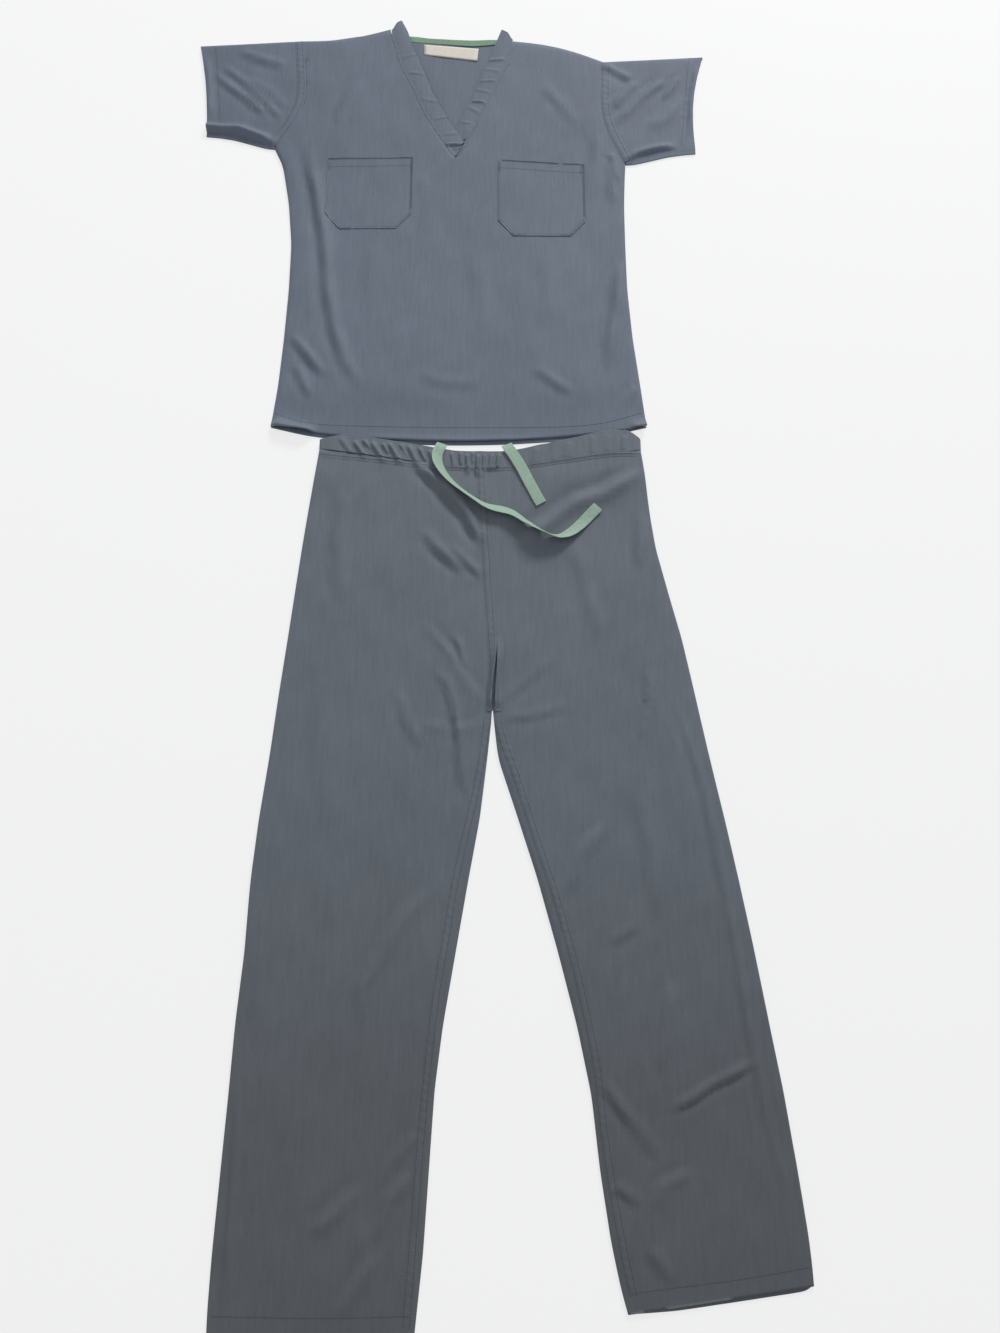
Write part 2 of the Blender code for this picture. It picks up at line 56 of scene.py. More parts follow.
# %% Camera
CAMERA_PLACE = (0.0575, -0.475, 1.25)
CAMERA_TIP = math.radians(15)
camera_data = bpy.data.cameras.new("camera")
camera_data.lens = 27.03
camera_data.sensor_width = 36.0
camera = bpy.data.objects.new("camera", camera_data)
camera.location = CAMERA_PLACE
camera.rotation_euler = (CAMERA_TIP, 0.0, 0.0)
bpy.context.scene.collection.objects.link(camera)
bpy.context.scene.camera = camera
print("camera", CAMERA_PLACE, "tipped", round(math.degrees(CAMERA_TIP)), "degrees")

# %% [markdown]
# ## Floor and light
# The floor is a plain pale sheet that glows a little, as a lit studio table does. One large soft
# lamp stands beyond the head end and to the right, so that every fold shades towards the lower left.

# %% Floor and lamps
FLOOR_SIZE = 24.0
FLOOR_DROP = 0.0004          # under the cloth, so that the two never lie in one plane
FLOOR_GREY = 0.20
FLOOR_GLOW = 0.72
SKY_COLOUR = (0.95, 0.97, 1.0, 1.0)
SKY_STRENGTH = 0.42
LAMPS = (
    # name | place | looks at | size | watts
    ("key", (1.50, 4.00, 2.20), (0.0, -0.05, 0.0), 1.2, 158.0),
    ("fill", (-1.2, 0.2, 2.6), (0.0, -0.2, 0.0), 2.4, 9.0),
)


def node_material(name):
    """A new material, its tree, and its shader."""
    material = bpy.data.materials.new(name)
    material.use_nodes = True
    return material, material.node_tree, material.node_tree.nodes["Principled BSDF"]


def set_inputs(node, **inputs):
    """Sets a node's inputs by name, with _ for a space."""
    for name, value in inputs.items():
        node.inputs[name.replace("_", " ")].default_value = value


def add_lamp(name, place, target, size, watts):
    lamp_data = bpy.data.lights.new(name, "AREA")
    lamp_data.shape = "DISK"
    lamp_data.size = size
    lamp_data.energy = watts
    lamp = bpy.data.objects.new(name, lamp_data)
    lamp.location = place
    lamp.rotation_euler = (Vector(target) - Vector(place)).to_track_quat("-Z", "Y").to_euler()
    bpy.context.scene.collection.objects.link(lamp)


bpy.ops.object.select_all(action="DESELECT")
bpy.ops.mesh.primitive_plane_add(size=FLOOR_SIZE, location=(0.0, 0.0, -FLOOR_DROP))
floor = bpy.context.object
floor.name = "floor"
floor_look, _, floor_shader = node_material("floor")
set_inputs(floor_shader, Base_Color=(FLOOR_GREY, FLOOR_GREY, FLOOR_GREY, 1.0), Roughness=0.9,
           Emission_Color=(1.0, 1.0, 1.0, 1.0), Emission_Strength=FLOOR_GLOW)
floor.data.materials.append(floor_look)
for lamp_row in LAMPS:
    add_lamp(*lamp_row)
world = bpy.data.worlds.new("studio")
bpy.context.scene.world = world
world.use_nodes = True
set_inputs(world.node_tree.nodes["Background"], Color=SKY_COLOUR, Strength=SKY_STRENGTH)
bpy.context.scene.view_settings.view_transform = "Standard"
print(len(LAMPS), "lamps and a pale floor")

# %% [markdown]
# ## The cloth's finish
# Scrubs are woven from fine poly-cotton yarn. Up close the weave is a grid of tiny bumps, and now
# and then a thick yarn shows as a faint streak along the length. Two wave textures make the grid,
# a stretched noise makes the streaks, and a broad noise makes the slightly uneven dye. All read
# Object coordinates, which are metres here, so a scale is simply the number of repeats a metre.

# %% Cloth finish
STREAK_SHARE = 0.45          # how much each noise has in the dye
CLOUD_SHARE = 0.30
FLECK_SHARE = 0.25
CLOUD_SCALE = (9.0, 7.0, 9.0)
FLECK_SCALE = (420.0, 700.0, 420.0)
DARK_END = 0.28              # where the dark and the full colour stand on the ramp
LIGHT_END = 0.72
WAVE_UNIT = 3.2              # ridges to a metre for each unit of a wave texture's scale


def link(tree, start, end):
    tree.links.new(start, end)


def add_node(tree, kind, **inputs):
    """A shader node with some of its inputs set by name."""
    node = tree.nodes.new(kind)
    set_inputs(node, **inputs)
    return node


def stretched_noise(tree, place, stretch, detail=3.0):
    """Noise on Object coordinates, stretched by unlike scales along X and Y."""
    mapping = add_node(tree, "ShaderNodeMapping", Scale=stretch)
    noise = add_node(tree, "ShaderNodeTexNoise", Scale=1.0, Detail=detail, Roughness=0.6)
    link(tree, place.outputs["Object"], mapping.inputs["Vector"])
    link(tree, mapping.outputs["Vector"], noise.inputs["Vector"])
    return noise


def yarn_wave(tree, place, direction, per_metre):
    """Ridges of yarn across one direction."""
    wave = add_node(tree, "ShaderNodeTexWave", Scale=per_metre / WAVE_UNIT, Distortion=0.6, Detail=1.0)
    wave.bands_direction = direction
    link(tree, place.outputs["Object"], wave.inputs["Vector"])
    return wave


def weighted(tree, value, share, rest=None):
    """A value times its share, plus the rest."""
    node = tree.nodes.new("ShaderNodeMath")
    node.operation = "MULTIPLY_ADD"
    node.inputs[1].default_value = share
    node.inputs[2].default_value = 0.0
    link(tree, value, node.inputs[0])
    if rest:
        link(tree, rest, node.inputs[2])
    return node.outputs[0]


def painted_shade_tint(tree, place, colour, tint, start, end):
    """Paints shade into a colour along Y: multiplies it by a tint, from none at the start to the whole tint
    at the end.
    """
    parts = tree.nodes.new("ShaderNodeSeparateXYZ")
    link(tree, place.outputs["Object"], parts.inputs["Vector"])
    share = add_node(tree, "ShaderNodeMapRange", From_Min=start, From_Max=end)
    share.interpolation_type = "SMOOTHSTEP"
    link(tree, parts.outputs["Y"], share.inputs["Value"])
    mix = tree.nodes.new("ShaderNodeMix")
    mix.data_type = "RGBA"
    mix.blend_type = "MULTIPLY"
    mix.inputs["B"].default_value = (*tint, 1.0)
    link(tree, share.outputs["Result"], mix.inputs["Factor"])
    link(tree, colour, mix.inputs["A"])
    return mix.outputs["Result"]


def woven_look(name, colour, dark, rough, sheen, per_metre, streak, bump, painted_shade=None):
    """A plain weave: dye unevenness and yarn streaks in the colour, an optional painted shade along Y, yarn
    and streaks in the bump.
    """
    material, tree, shader = node_material(name)
    place = tree.nodes.new("ShaderNodeTexCoord")
    streaks = stretched_noise(tree, place, streak)
    cloud = stretched_noise(tree, place, CLOUD_SCALE, 2.0)
    fleck = stretched_noise(tree, place, FLECK_SCALE, 1.0)
    dye = weighted(tree, fleck.outputs["Fac"], FLECK_SHARE)
    dye = weighted(tree, cloud.outputs["Fac"], CLOUD_SHARE, dye)
    dye = weighted(tree, streaks.outputs["Fac"], STREAK_SHARE, dye)
    ramp = tree.nodes.new("ShaderNodeValToRGB")
    for end, position, shade in zip(ramp.color_ramp.elements, (DARK_END, LIGHT_END), (dark, colour)):
        end.position = position
        end.color = (*shade, 1.0)
    link(tree, dye, ramp.inputs["Fac"])
    dyed = ramp.outputs["Color"]
    # painted shade along Y, when one is given
    if painted_shade:
        dyed = painted_shade_tint(tree, place, dyed, *painted_shade)
    link(tree, dyed, shader.inputs["Base Color"])
    warp = yarn_wave(tree, place, "X", per_metre)
    weft = yarn_wave(tree, place, "Y", per_metre)
    yarns = tree.nodes.new("ShaderNodeMath")
    yarns.operation = "ADD"
    link(tree, warp.outputs["Fac"], yarns.inputs[0])
    link(tree, weft.outputs["Fac"], yarns.inputs[1])
    fine = add_node(tree, "ShaderNodeBump", Strength=bump, Distance=0.0002)
    link(tree, yarns.outputs[0], fine.inputs["Height"])
    broad = add_node(tree, "ShaderNodeBump", Strength=0.35, Distance=0.0012)
    link(tree, streaks.outputs["Fac"], broad.inputs["Height"])
    link(tree, fine.outputs["Normal"], broad.inputs["Normal"])
    link(tree, broad.outputs["Normal"], shader.inputs["Normal"])
    set_inputs(shader, Roughness=rough, Sheen_Weight=sheen, Sheen_Roughness=0.45,
               Specular_IOR_Level=0.32)
    return material


print("dye from three noises, shares", STREAK_SHARE, CLOUD_SHARE, FLECK_SHARE)

# %% [markdown]
# Five finishes use that weave. Shade is painted into their colour along the body: a little darker towards
# the shoulders, and darker and duller towards the trousers' hems, where the light falls off.

# %% Finishes
CLOTH_YARNS = 1900.0                       # yarns to a metre, as the bump shows them
CLOTH_STREAKS = (210.0, 26.0, 210.0)
# painted shade: the top is darker towards the shoulders
TOP_PAINTED_SHADE = ((0.87, 0.88, 0.90), 0.30, 0.80)       # tint, where it starts, where it is whole
scrub_look = woven_look("scrub_cloth", (0.159, 0.190, 0.244), (0.118, 0.143, 0.183), 0.62, 0.14,
                        CLOTH_YARNS, CLOTH_STREAKS, 0.35, painted_shade=TOP_PAINTED_SHADE)
# painted shade: the trousers are darker and duller towards the hems, where the light falls off
LEG_PAINTED_SHADE = ((0.82, 0.765, 0.735), -0.20, -0.78)
trouser_look = woven_look("scrub_cloth_trousers", (0.158, 0.184, 0.214), (0.118, 0.138, 0.161), 0.62,
                          0.12, CLOTH_YARNS, CLOTH_STREAKS, 0.35, painted_shade=LEG_PAINTED_SHADE)
mint_look = woven_look("mint_string", (0.400, 0.555, 0.440), (0.270, 0.390, 0.300), 0.7, 0.12,
                       1150.0, (300.0, 300.0, 300.0), 0.6)
green_look = woven_look("green_tape", (0.250, 0.400, 0.270), (0.150, 0.260, 0.170), 0.8, 0.1,
                        900.0, (600.0, 90.0, 600.0), 0.8)
cream_look = woven_look("cream_label", (0.72, 0.68, 0.60), (0.62, 0.58, 0.50), 0.6, 0.1,
                        1500.0, (300.0, 120.0, 300.0), 0.3)


def thread_look(name, colour):
    """Twisted sewing thread: fine slanting ridges on a slightly glossy yarn."""
    material, tree, shader = node_material(name)
    place = tree.nodes.new("ShaderNodeTexCoord")
    twist = yarn_wave(tree, place, "DIAGONAL", 5200.0)
    ridges = add_node(tree, "ShaderNodeBump", Strength=0.5, Distance=0.0001)
    link(tree, twist.outputs["Fac"], ridges.inputs["Height"])
    link(tree, ridges.outputs["Normal"], shader.inputs["Normal"])
    set_inputs(shader, Base_Color=(*colour, 1.0), Roughness=0.5)
    return material


thread = thread_look("sewing_thread", (0.050, 0.058, 0.075))
matched_thread = thread_look("matched_thread", (0.110, 0.128, 0.165))
print("finishes:", [material.name for material in bpy.data.materials][-7:])

# %% [markdown]
# ## Creases
# Cloth that has been folded, worn and laid down keeps soft ridges and troughs. Each one here is a
# row of a table: its half width, its height and a few points that it runs through, in millimetres.
# A ridge has a trough along one side, is deepest near its middle and runs out at both ends.
# One field serves every piece, so a pocket or a band rises and falls with the panel under it.

# %% Crease tables
def metres(row):
    """The same rows with every number turned from millimetres into metres."""
    if isinstance(row, tuple):
        return tuple(metres(part) for part in row)
    return row if isinstance(row, str) else row / 1000.0


TOP_CREASES = metres((
    # width | height | points
    (7.5, 3.4, ((-235, 690), (-214, 587), (-197, 500), (-187, 407), (-175, 350), (-161, 305), (-141, 272),
        (-128, 250))),
    (6, 2.4, ((-238, 345), (-215, 316), (-186, 277))),
    (5.5, 1.8, ((-230, 298), (-205, 245))),
    (9, 2.4, ((234, 470), (226, 400), (214, 335), (207, 285))),
    (6, 1.6, ((247, 265), (230, 226))),
    (6.5, 1.5, ((104, 294), (128, 275), (162, 248))),
    (4.5, 2.2, ((222, 655), (228, 630), (231, 600))),
    (5, 2, ((218, 640), (223, 600), (224, 560))),
    (8, 1.8, ((207, 690), (199, 630), (190, 555))),
    (10, 0.7, ((-120, 500), (-128, 430), (-122, 350))),
    (12, 0.7, ((30, 560), (22, 480), (34, 390), (26, 310))),
    (9, 0.7, ((-60, 620), (-46, 560), (-52, 500))),
    (8, 0.8, ((-60, 285), (-20, 268), (30, 270))),
    (10, 0.7, ((120, 480), (130, 420), (118, 350))),
    (7, 1.3, ((-150, 790), (-175, 750), (-190, 700))),
    (7, 1.2, ((120, 780), (150, 740), (172, 700))),
))
SLEEVE_CREASES = metres((
    (5.5, 2, ((-386, 804), (-354, 774), (-322, 748), (-290, 716))),
    (5, 1.8, ((-372, 818), (-330, 780), (-296, 744), (-268, 708))),
    (5.5, 1.2, ((-330, 792), (-292, 764), (-262, 730))),
    (7, 1.4, ((-345, 842), (-310, 826), (-268, 812))),
    (6, 2.6, ((312, 790), (273, 754), (254, 732), (226, 700))),
    (5.5, 2, ((266, 785), (226, 735))),
    (5, 2, ((333, 795), (305, 750))),
    (10, 1.8, ((344, 760), (306, 714), (278, 695))),
    (6, 1.8, ((214, 815), (260, 784))),
    (3.2, 1.2, ((338, 774), (364, 772))),
    (3.2, 1.2, ((334, 748), (360, 746))),
    (3.2, 1.1, ((328, 722), (355, 720))),
))
TROUSER_CREASES = metres((
    (6, 4.8, ((-62, 150), (-40, 130), (-13, 103), (10, 73), (36, 24))),
    (5, 2.6, ((-30, 135), (-4, 104), (18, 74), (34, 50))),
    (6, 2.6, ((-46, 50), (-29, 25), (-5, 3), (10, -15))),
    (5, 1.8, ((-10, 26), (34, -18))),
    (9, 4, ((258, 138), (221, 114), (198, 98), (161, 87), (129, 62), (90, 37), (72, 22))),
    (8, 1.8, ((249, 75), (246, 35), (238, -10))),
    (4.5, 1.8, ((2, -100), (13, -146))),
    (5, 2.8, ((-28, -145), (-12, -159), (-1, -194), (7, -236), (10, -286), (21, -315))),
    (6, 1.5, ((-70, -172), (-62, -212), (-38, -250))),
    (8, 2.2, ((-28, -418), (-64, -464), (-84, -498), (-106, -537), (-108, -590))),
    (6, 1.6, ((-40, -693), (-62, -727))),
    (7, 2.2, ((-42, -735), (-68, -764), (-84, -808))),
    (7, 2, ((-79, -815), (-100, -851), (-120, -884))),
    (7, 1.8, ((-98, -748), (-130, -780), (-156, -799))),
    (4, 1.3, ((-243, -640), (-244.5, -720), (-245, -800), (-244.5, -900))),
    (5.5, 1.2, ((268, -155), (292, -223), (304, -264), (313, -305), (336, -460), (345, -545), (367, -693),
        (377, -746), (383, -830))),
    (5, 2, ((251, -140), (249, -194), (232, -240))),
    (7, 2, ((190, -338), (155, -384), (139, -430))),
    (5.5, 1.4, ((190, -485), (222, -463))),
    (7, 1.8, ((264, -522), (250, -580), (240, -634))),
    (3.8, 2.6, ((248, -671), (280, -657), (303, -642), (328, -631), (358, -616))),
    (6, 2, ((176, -635), (197, -667), (223, -698), (240, -724))),
    (5.5, 1.5, ((188, -747), (215, -768))),
    (6, 1.6, ((276, -734), (242, -750), (230, -774))),
    (7, 1.8, ((226, -812), (250, -848))),
    (5.5, 0.9, ((44, -196), (20, -170), (-10, -120), (-50, -75))),
    (5.5, 0.9, ((50, -196), (85, -165), (125, -130))),
    (5.5, 0.9, ((56, -210), (100, -205), (150, -190))),
    (5.5, 0.8, ((40, -215), (0, -225), (-45, -215))),
    (10, 1.6, ((-150, 110), (-158, 30), (-150, -60))),
    (11, 0.9, ((-165, -120), (-170, -230), (-160, -330))),
    (11, 0.9, ((-140, -380), (-150, -480), (-170, -570))),
    (10, 1.3, ((160, 30), (175, -50), (190, -110))),
    (11, 1.4, ((225, -290), (245, -380), (250, -470))),
))
# Gathers of the casing: small upright folds where the drawstring pulls it together
GATHERS = metres((
    # width | height | points
    (4.6, 1.2, ((-162, 183), (-144, 157))),
    (3.4, 2, ((-143, 178), (-124, 150))),
    (2.6, 1.4, ((-131, 180), (-117, 162))),
    (3.6, 2.2, ((-119, 177), (-99, 144))),
    (2.4, 1.8, ((-104, 174), (-93, 156))),
    (3.2, 2.3, ((-95, 175), (-76, 141))),
    (2.8, 1.2, ((-80, 174), (-66, 150))),
    (3.8, 2.3, ((-69, 173), (-48, 130))),
    (2.6, 1.8, ((-54, 169), (-42, 145))),
    (3.4, 1.8, ((-40, 166), (-30, 138))),
    (2.6, 1.6, ((-9, 163), (-5, 136))),
    (2, 2.2, ((3, 162), (5, 140))),
    (3, 2.6, ((12.5, 161), (14.5, 126))),
    (2, 1.8, ((20.5, 162), (20, 143))),
    (2.6, 3, ((27.5, 160), (25.5, 123))),
    (2.2, 2.4, ((36.5, 161), (35, 129))),
    (3.4, 1.8, ((47, 161), (43, 133))),
    (2.4, 2.4, ((56, 160), (53, 134))),
    (5.4, 0.8, ((108, 169), (102, 142))),
    (6, 0.6, ((152, 177), (145, 150))),
    (5, 0.6, ((184, 187), (182, 156))),
    (6, 0.5, ((206, 189), (202, 159))),
    (4, 0.8, ((227, 187), (224, 160))),
))
# Puckers across the neck bands, where their bias was stretched on to the neckline
BAND_PUCKERS = metres((
    (2, 1.4, ((-29, 666), (-10, 667.2), (9, 666.8))),
    (3.2, 0.35, ((-96, 826), (-62, 838))),
    (2.6, 0.45, ((-84, 799), (-56, 796))),
    (3.4, 0.3, ((-64, 751), (-34, 743))),
    (2.6, 0.45, ((-44, 712), (-15, 720))),
    (3, 0.4, ((-27, 685), (-4, 688))),
    (2.6, 0.4, ((16, 705), (-2, 708))),
    (3.4, 0.5, ((30, 723), (8, 736))),
    (2.6, 1.1, ((35, 744), (13, 746))),
    (3, 0.45, ((44, 762), (18, 769))),
    (2.4, 0.6, ((52, 785), (24, 783))),
    (3.4, 0.4, ((60, 802), (31, 807))),
    (3, 1, ((67, 825), (37, 823))),
))
# Edges that stand up: the sleeves' lower edges, the cuffs, the hem of the front and the shoulders
SLEEVE_LIFTS = metres((
    (7, 4.6, ((-410, 699), (-384, 699), (-335, 694), (-298, 680), (-272, 665))),
    (6, 2.6, ((242, 640), (265, 653), (295, 662), (325, 666))),
    (6, 1.6, ((-396, 840), (-387, 780), (-380, 710))),
    (6, 1.6, ((362, 820), (350, 760), (342, 680))),
))
HEM_LIFTS = metres((
    (10, 6.8, ((-262, 206), (-230, 195), (-195, 187))),
    (9, 4, ((238, 195), (270, 204))),
    (4.5, 1.1, ((-165, 188), (-100, 183), (0, 180), (90, 181), (145, 186))),
))
print(len(TOP_CREASES) + len(SLEEVE_CREASES) + len(TROUSER_CREASES) + len(GATHERS), "creases")

# %% [markdown]
# A crease's height at a point depends on how far the point lies from the crease's line, and on how
# far along it lies. numpy works that out for thousands of points at once, which a plain loop over
# vertices would do slowly. A few long sine waves add the slackness of cloth that nothing stretches.

# %% Crease field
CREASE_GAIN = 1.35
TAPER_SHARE = 0.22           # share of a crease's length over which it runs out at each end
MIDDLE_SWELL = 0.25
UNEVENNESS = 0.12
TROUGH_PLACE = 1.7           # in half widths of the ridge
TROUGH_WIDTH = 1.1
TROUGH_DEPTH = 0.45          # as a share of the ridge's height
REACH = 4.0                  # half widths past which a crease is left out
WAIST_BAND_STRIP = (0.125, 0.150, 0.215, 0.245)   # the field fades out where the garments overlap
SLACK_WAVES = (
    # share | turn along x and y, in radians a metre | start
    (0.42, 31.0, 9.0, 1.1), (0.34, -17.0, 23.0, 0.4), (0.20, 67.0, -21.0, 2.0),
    (0.16, 43.0, 71.0, 0.0), (0.10, 131.0, 37.0, 0.7), (0.08, -89.0, 149.0, 0.0),
)
SLACK_HEIGHT = 0.0013
SLACK_LIFT = 0.0006


def soft_step(value):
    """0 below 0, 1 above 1, and smooth between."""
    value = np.clip(value, 0.0, 1.0)
    return value * value * (3.0 - 2.0 * value)


def crease_height(x, y, width, height, points):
    """Height of one crease at many points: a ridge with a shallower trough on its right."""
    lengths = [math.dist(a, b) for a, b in zip(points, points[1:])]
    whole = sum(lengths)
    nearest = np.full(x.shape, 9.0)
    side = np.zeros(x.shape)
    travelled = np.zeros(x.shape)
    start = 0.0
    for (x0, y0), (x1, y1), length in zip(points, points[1:], lengths):
        run_x, run_y = (x1 - x0) / length, (y1 - y0) / length
        share = np.clip((x - x0) * run_x + (y - y0) * run_y, 0.0, length)
        off_x, off_y = x - x0 - share * run_x, y - y0 - share * run_y
        away = np.hypot(off_x, off_y)
        closer = away < nearest
        nearest = np.where(closer, away, nearest)
        side = np.where(closer, run_x * off_y - run_y * off_x, side)
        travelled = np.where(closer, start + share, travelled)
        start += length
    along_share = travelled / whole
    taper = soft_step(along_share / TAPER_SHARE) * soft_step((1.0 - along_share) / TAPER_SHARE)
    taper += MIDDLE_SWELL * np.sin(math.pi * along_share)
    taper *= 1.0 + UNEVENNESS * np.sin(travelled * 95.0 + whole * 40.0)
    ridge = np.exp(-((nearest / width) ** 2))
    signed = np.where(np.abs(side) > 1e-9, np.sign(side), 1.0) * nearest
    trough = np.exp(-(((signed + TROUGH_PLACE * width) / (TROUGH_WIDTH * width)) ** 2))
    return CREASE_GAIN * height * taper * (ridge - TROUGH_DEPTH * trough)


def slackness(x, y):
    """Broad unevenness of loose cloth, up to about two millimetres."""
    waves = [share * np.sin(turn_x * x + turn_y * y + start)
             for share, turn_x, turn_y, start in SLACK_WAVES]
    return sum(waves) * SLACK_HEIGHT + SLACK_LIFT


def table_rise(table, x, y):
    """The summed height of all the creases of a table, each worked out only near its own line."""
    rise = np.zeros(x.shape)
    for width, height, points in table:
        reach = REACH * width
        inside = x > min(p[0] for p in points) - reach
        inside &= x < max(p[0] for p in points) + reach
        inside &= y > min(p[1] for p in points) - reach
        inside &= y < max(p[1] for p in points) + reach
        if inside.any():
            rise[inside] += crease_height(x[inside], y[inside], width, height, points)
    return rise


def cloth_rise(x, y):
    """How far the creases move the upper layer at many points."""
    rise = slackness(x, y)
    for table in (TOP_CREASES, SLEEVE_CREASES, TROUSER_CREASES):
        rise += table_rise(table, x, y)
    low, full_low, full_high, high = WAIST_BAND_STRIP
    clear = np.maximum(soft_step((full_low - y) / (full_low - low)),
                       soft_step((y - full_high) / (high - full_high)))
    return rise * clear


print("rise at the chest", round(float(cloth_rise(np.array([0.0]), np.array([0.5]))[0]) * 1000, 2), "mm")

# %% [markdown]
# ## Cloth pieces
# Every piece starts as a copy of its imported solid, so it is the right size from the start. The
# copy's loose triangles are merged and turned back into four-sided faces. Long faces are divided,
# the rims are marked to stay sharp, and a Subdivision Surface makes the outline flow. Then the
# crease field moves both walls of the upper layer together, so the cloth stays one thickness.

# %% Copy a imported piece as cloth
WALL = 0.0012
CLOSED = 0.0027       # top of the upper layer where it meets the lower one
TRIM_THINNING = 0.0006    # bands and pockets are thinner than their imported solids
RIM_ANGLE = math.radians(50)
CORNER_ANGLE = math.radians(32)
MERGE = 0.00002
QUAD_ANGLE = math.radians(40)
QUAD_SHAPE = math.radians(80)
DIVIDING_ROUNDS = 3


def select_only(piece):
    bpy.ops.object.select_all(action="DESELECT")
    piece.select_set(True)
    bpy.context.view_layer.objects.active = piece


def keep_rims_sharp(mesh):
    """Creases the sharp rim edges, and pins the corners of the outline."""
    shape = bmesh.new()
    shape.from_mesh(mesh)
    edge_layer = shape.edges.layers.float.new("crease_edge")
    corner_layer = shape.verts.layers.float.new("crease_vert")
    for edge in shape.edges:
        if len(edge.link_faces) == 2 and edge.calc_face_angle(0.0) > RIM_ANGLE:
            edge[edge_layer] = 1.0
    for point in shape.verts:
        rims = [edge for edge in point.link_edges
                if edge[edge_layer] > 0.5 and edge.calc_length() > 2 * WALL]
        if len(rims) == 2:
            a, b = (edge.other_vert(point).co - point.co for edge in rims)
            if math.pi - a.angle(b) > CORNER_ANGLE:
                point[corner_layer] = 1.0
    shape.to_mesh(mesh)
    shape.free()


def cloth_copy(node, name, longest, levels):
    """A four-sided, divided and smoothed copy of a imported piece."""
    piece = bpy.data.objects.new(name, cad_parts[node].data.copy())
    bpy.context.scene.collection.objects.link(piece)
    select_only(piece)
    bpy.ops.object.mode_set(mode="EDIT")
    bpy.ops.mesh.select_all(action="SELECT")
    bpy.ops.mesh.remove_doubles(threshold=MERGE)
    bpy.ops.mesh.tris_convert_to_quads(face_threshold=QUAD_ANGLE, shape_threshold=QUAD_SHAPE)
    bpy.ops.object.mode_set(mode="OBJECT")
    for _ in range(DIVIDING_ROUNDS):
        for edge in piece.data.edges:
            a, b = (piece.data.vertices[index].co for index in edge.vertices)
            edge.select = (a - b).length > longest
        bpy.ops.object.mode_set(mode="EDIT")
        bpy.ops.mesh.select_mode(type="EDGE")
        bpy.ops.mesh.subdivide(number_cuts=1)
        bpy.ops.mesh.select_all(action="DESELECT")
        bpy.ops.object.mode_set(mode="OBJECT")
    keep_rims_sharp(piece.data)
    smoother = piece.modifiers.new("smooth", "SUBSURF")
    smoother.levels = levels
    smoother.render_levels = levels
    bpy.ops.object.modifier_apply(modifier="smooth")
    bpy.ops.object.shade_smooth_by_angle(angle=RIM_ANGLE)
    return piece


def read_points(mesh):
    """The mesh's points and normals as numpy tables."""
    points = np.empty(len(mesh.vertices) * 3)
    mesh.vertices.foreach_get("co", points)
    normals = np.empty(len(mesh.vertices) * 3)
    mesh.vertex_normals.foreach_get("vector", normals)
    return points.reshape(-1, 3), normals.reshape(-1, 3)


def write_points(piece, points):
    piece.data.vertices.foreach_set("co", points.ravel())
    piece.data.update()


print(len(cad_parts), "packed pieces to copy")

# %% [markdown]
# The field is then added to the copy. The upper layer takes all of it and the layer on the floor only
# a little, upwards. A trim piece moves as a whole, with what it lies on.

# %% Crease a piece
GROWS_OVER = 0.0022          # height over the closed edge at which the whole field counts
LOWEST_SHARE = 0.85          # how much of that height a trough may take away
TRIM_LOWEST = 0.0003
OWN_START = 0.0016           # own creases come in over this height
OWN_OVER = 0.0010
FLOOR_SHIFT = (0.031, -0.047)    # the layer on the floor reads the field from another place
FLOOR_RISE = (0.0004, 0.0010)    # what is taken off there, and the most that is left


def crease_cloth(piece, base=CLOSED, whole=False, own=()):
    """Moves the upper layer with the crease field, and marks the lower layer with shallow creases."""
    points, normals = read_points(piece.data)
    x, y, z = points.T
    top = z + WALL * (1.0 - normals[:, 2]) / 2.0
    weight = np.ones(x.shape) if whole else soft_step((top - base) / GROWS_OVER)
    rise = cloth_rise(x, y) * weight
    rise = np.maximum(rise, -TRIM_LOWEST if whole else -LOWEST_SHARE * np.maximum(top - base, 0.0))
    if own:
        rise += np.maximum(table_rise(own, x, y), 0.0) * soft_step((top - OWN_START) / OWN_OVER)
    if whole:
        rise -= TRIM_THINNING * (1.0 + normals[:, 2]) / 2.0
    hidden = (z < WALL + 0.0001) & (not whole)
    flat = soft_step((np.abs(normals[:, 2]) - 0.9) / 0.1)
    shift_x, shift_y = FLOOR_SHIFT
    taken_off, most = FLOOR_RISE
    under = np.clip(np.abs(cloth_rise(x + shift_x, y + shift_y)) - taken_off, 0.0, most) * flat
    points[:, 2] += np.where(hidden, under, rise)
    write_points(piece, points)
    return piece


def finish_cloth(piece, look, slot, *nodes):
    """Gives a piece its finish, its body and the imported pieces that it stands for."""
    piece.data.materials.clear()
    piece.data.materials.append(look)
    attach(piece, "root")
    if nodes:
        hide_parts(*nodes)
    return piece


print("troughs take at most", round(LOWEST_SHARE * 100), "per cent of the height")

# %% [markdown]
# ## The top
# The front and back are one panel each, open at the neck. The sleeves are flattened tubes, their
# back layer showing a little under the front. Pockets and neck bands are sewn on top.

# %% Top
PANEL_STEP = 0.030       # longest face before smoothing
cloth = {}


def add_cloth(node, step=PANEL_STEP, levels=2, look=None, slot="scrub_cloth",
              base=CLOSED, whole=False, own=()):
    """Copies, creases and finishes one piece of cloth."""
    piece = cloth_copy(node, node + "_cloth", step, levels)
    crease_cloth(piece, base, whole, own)
    finish_cloth(piece, look or scrub_look, slot, node)
    cloth[node] = piece
    triangles = sum(len(face.vertices) - 2 for face in piece.data.polygons)
    print(node, triangles, "triangles")
    return piece


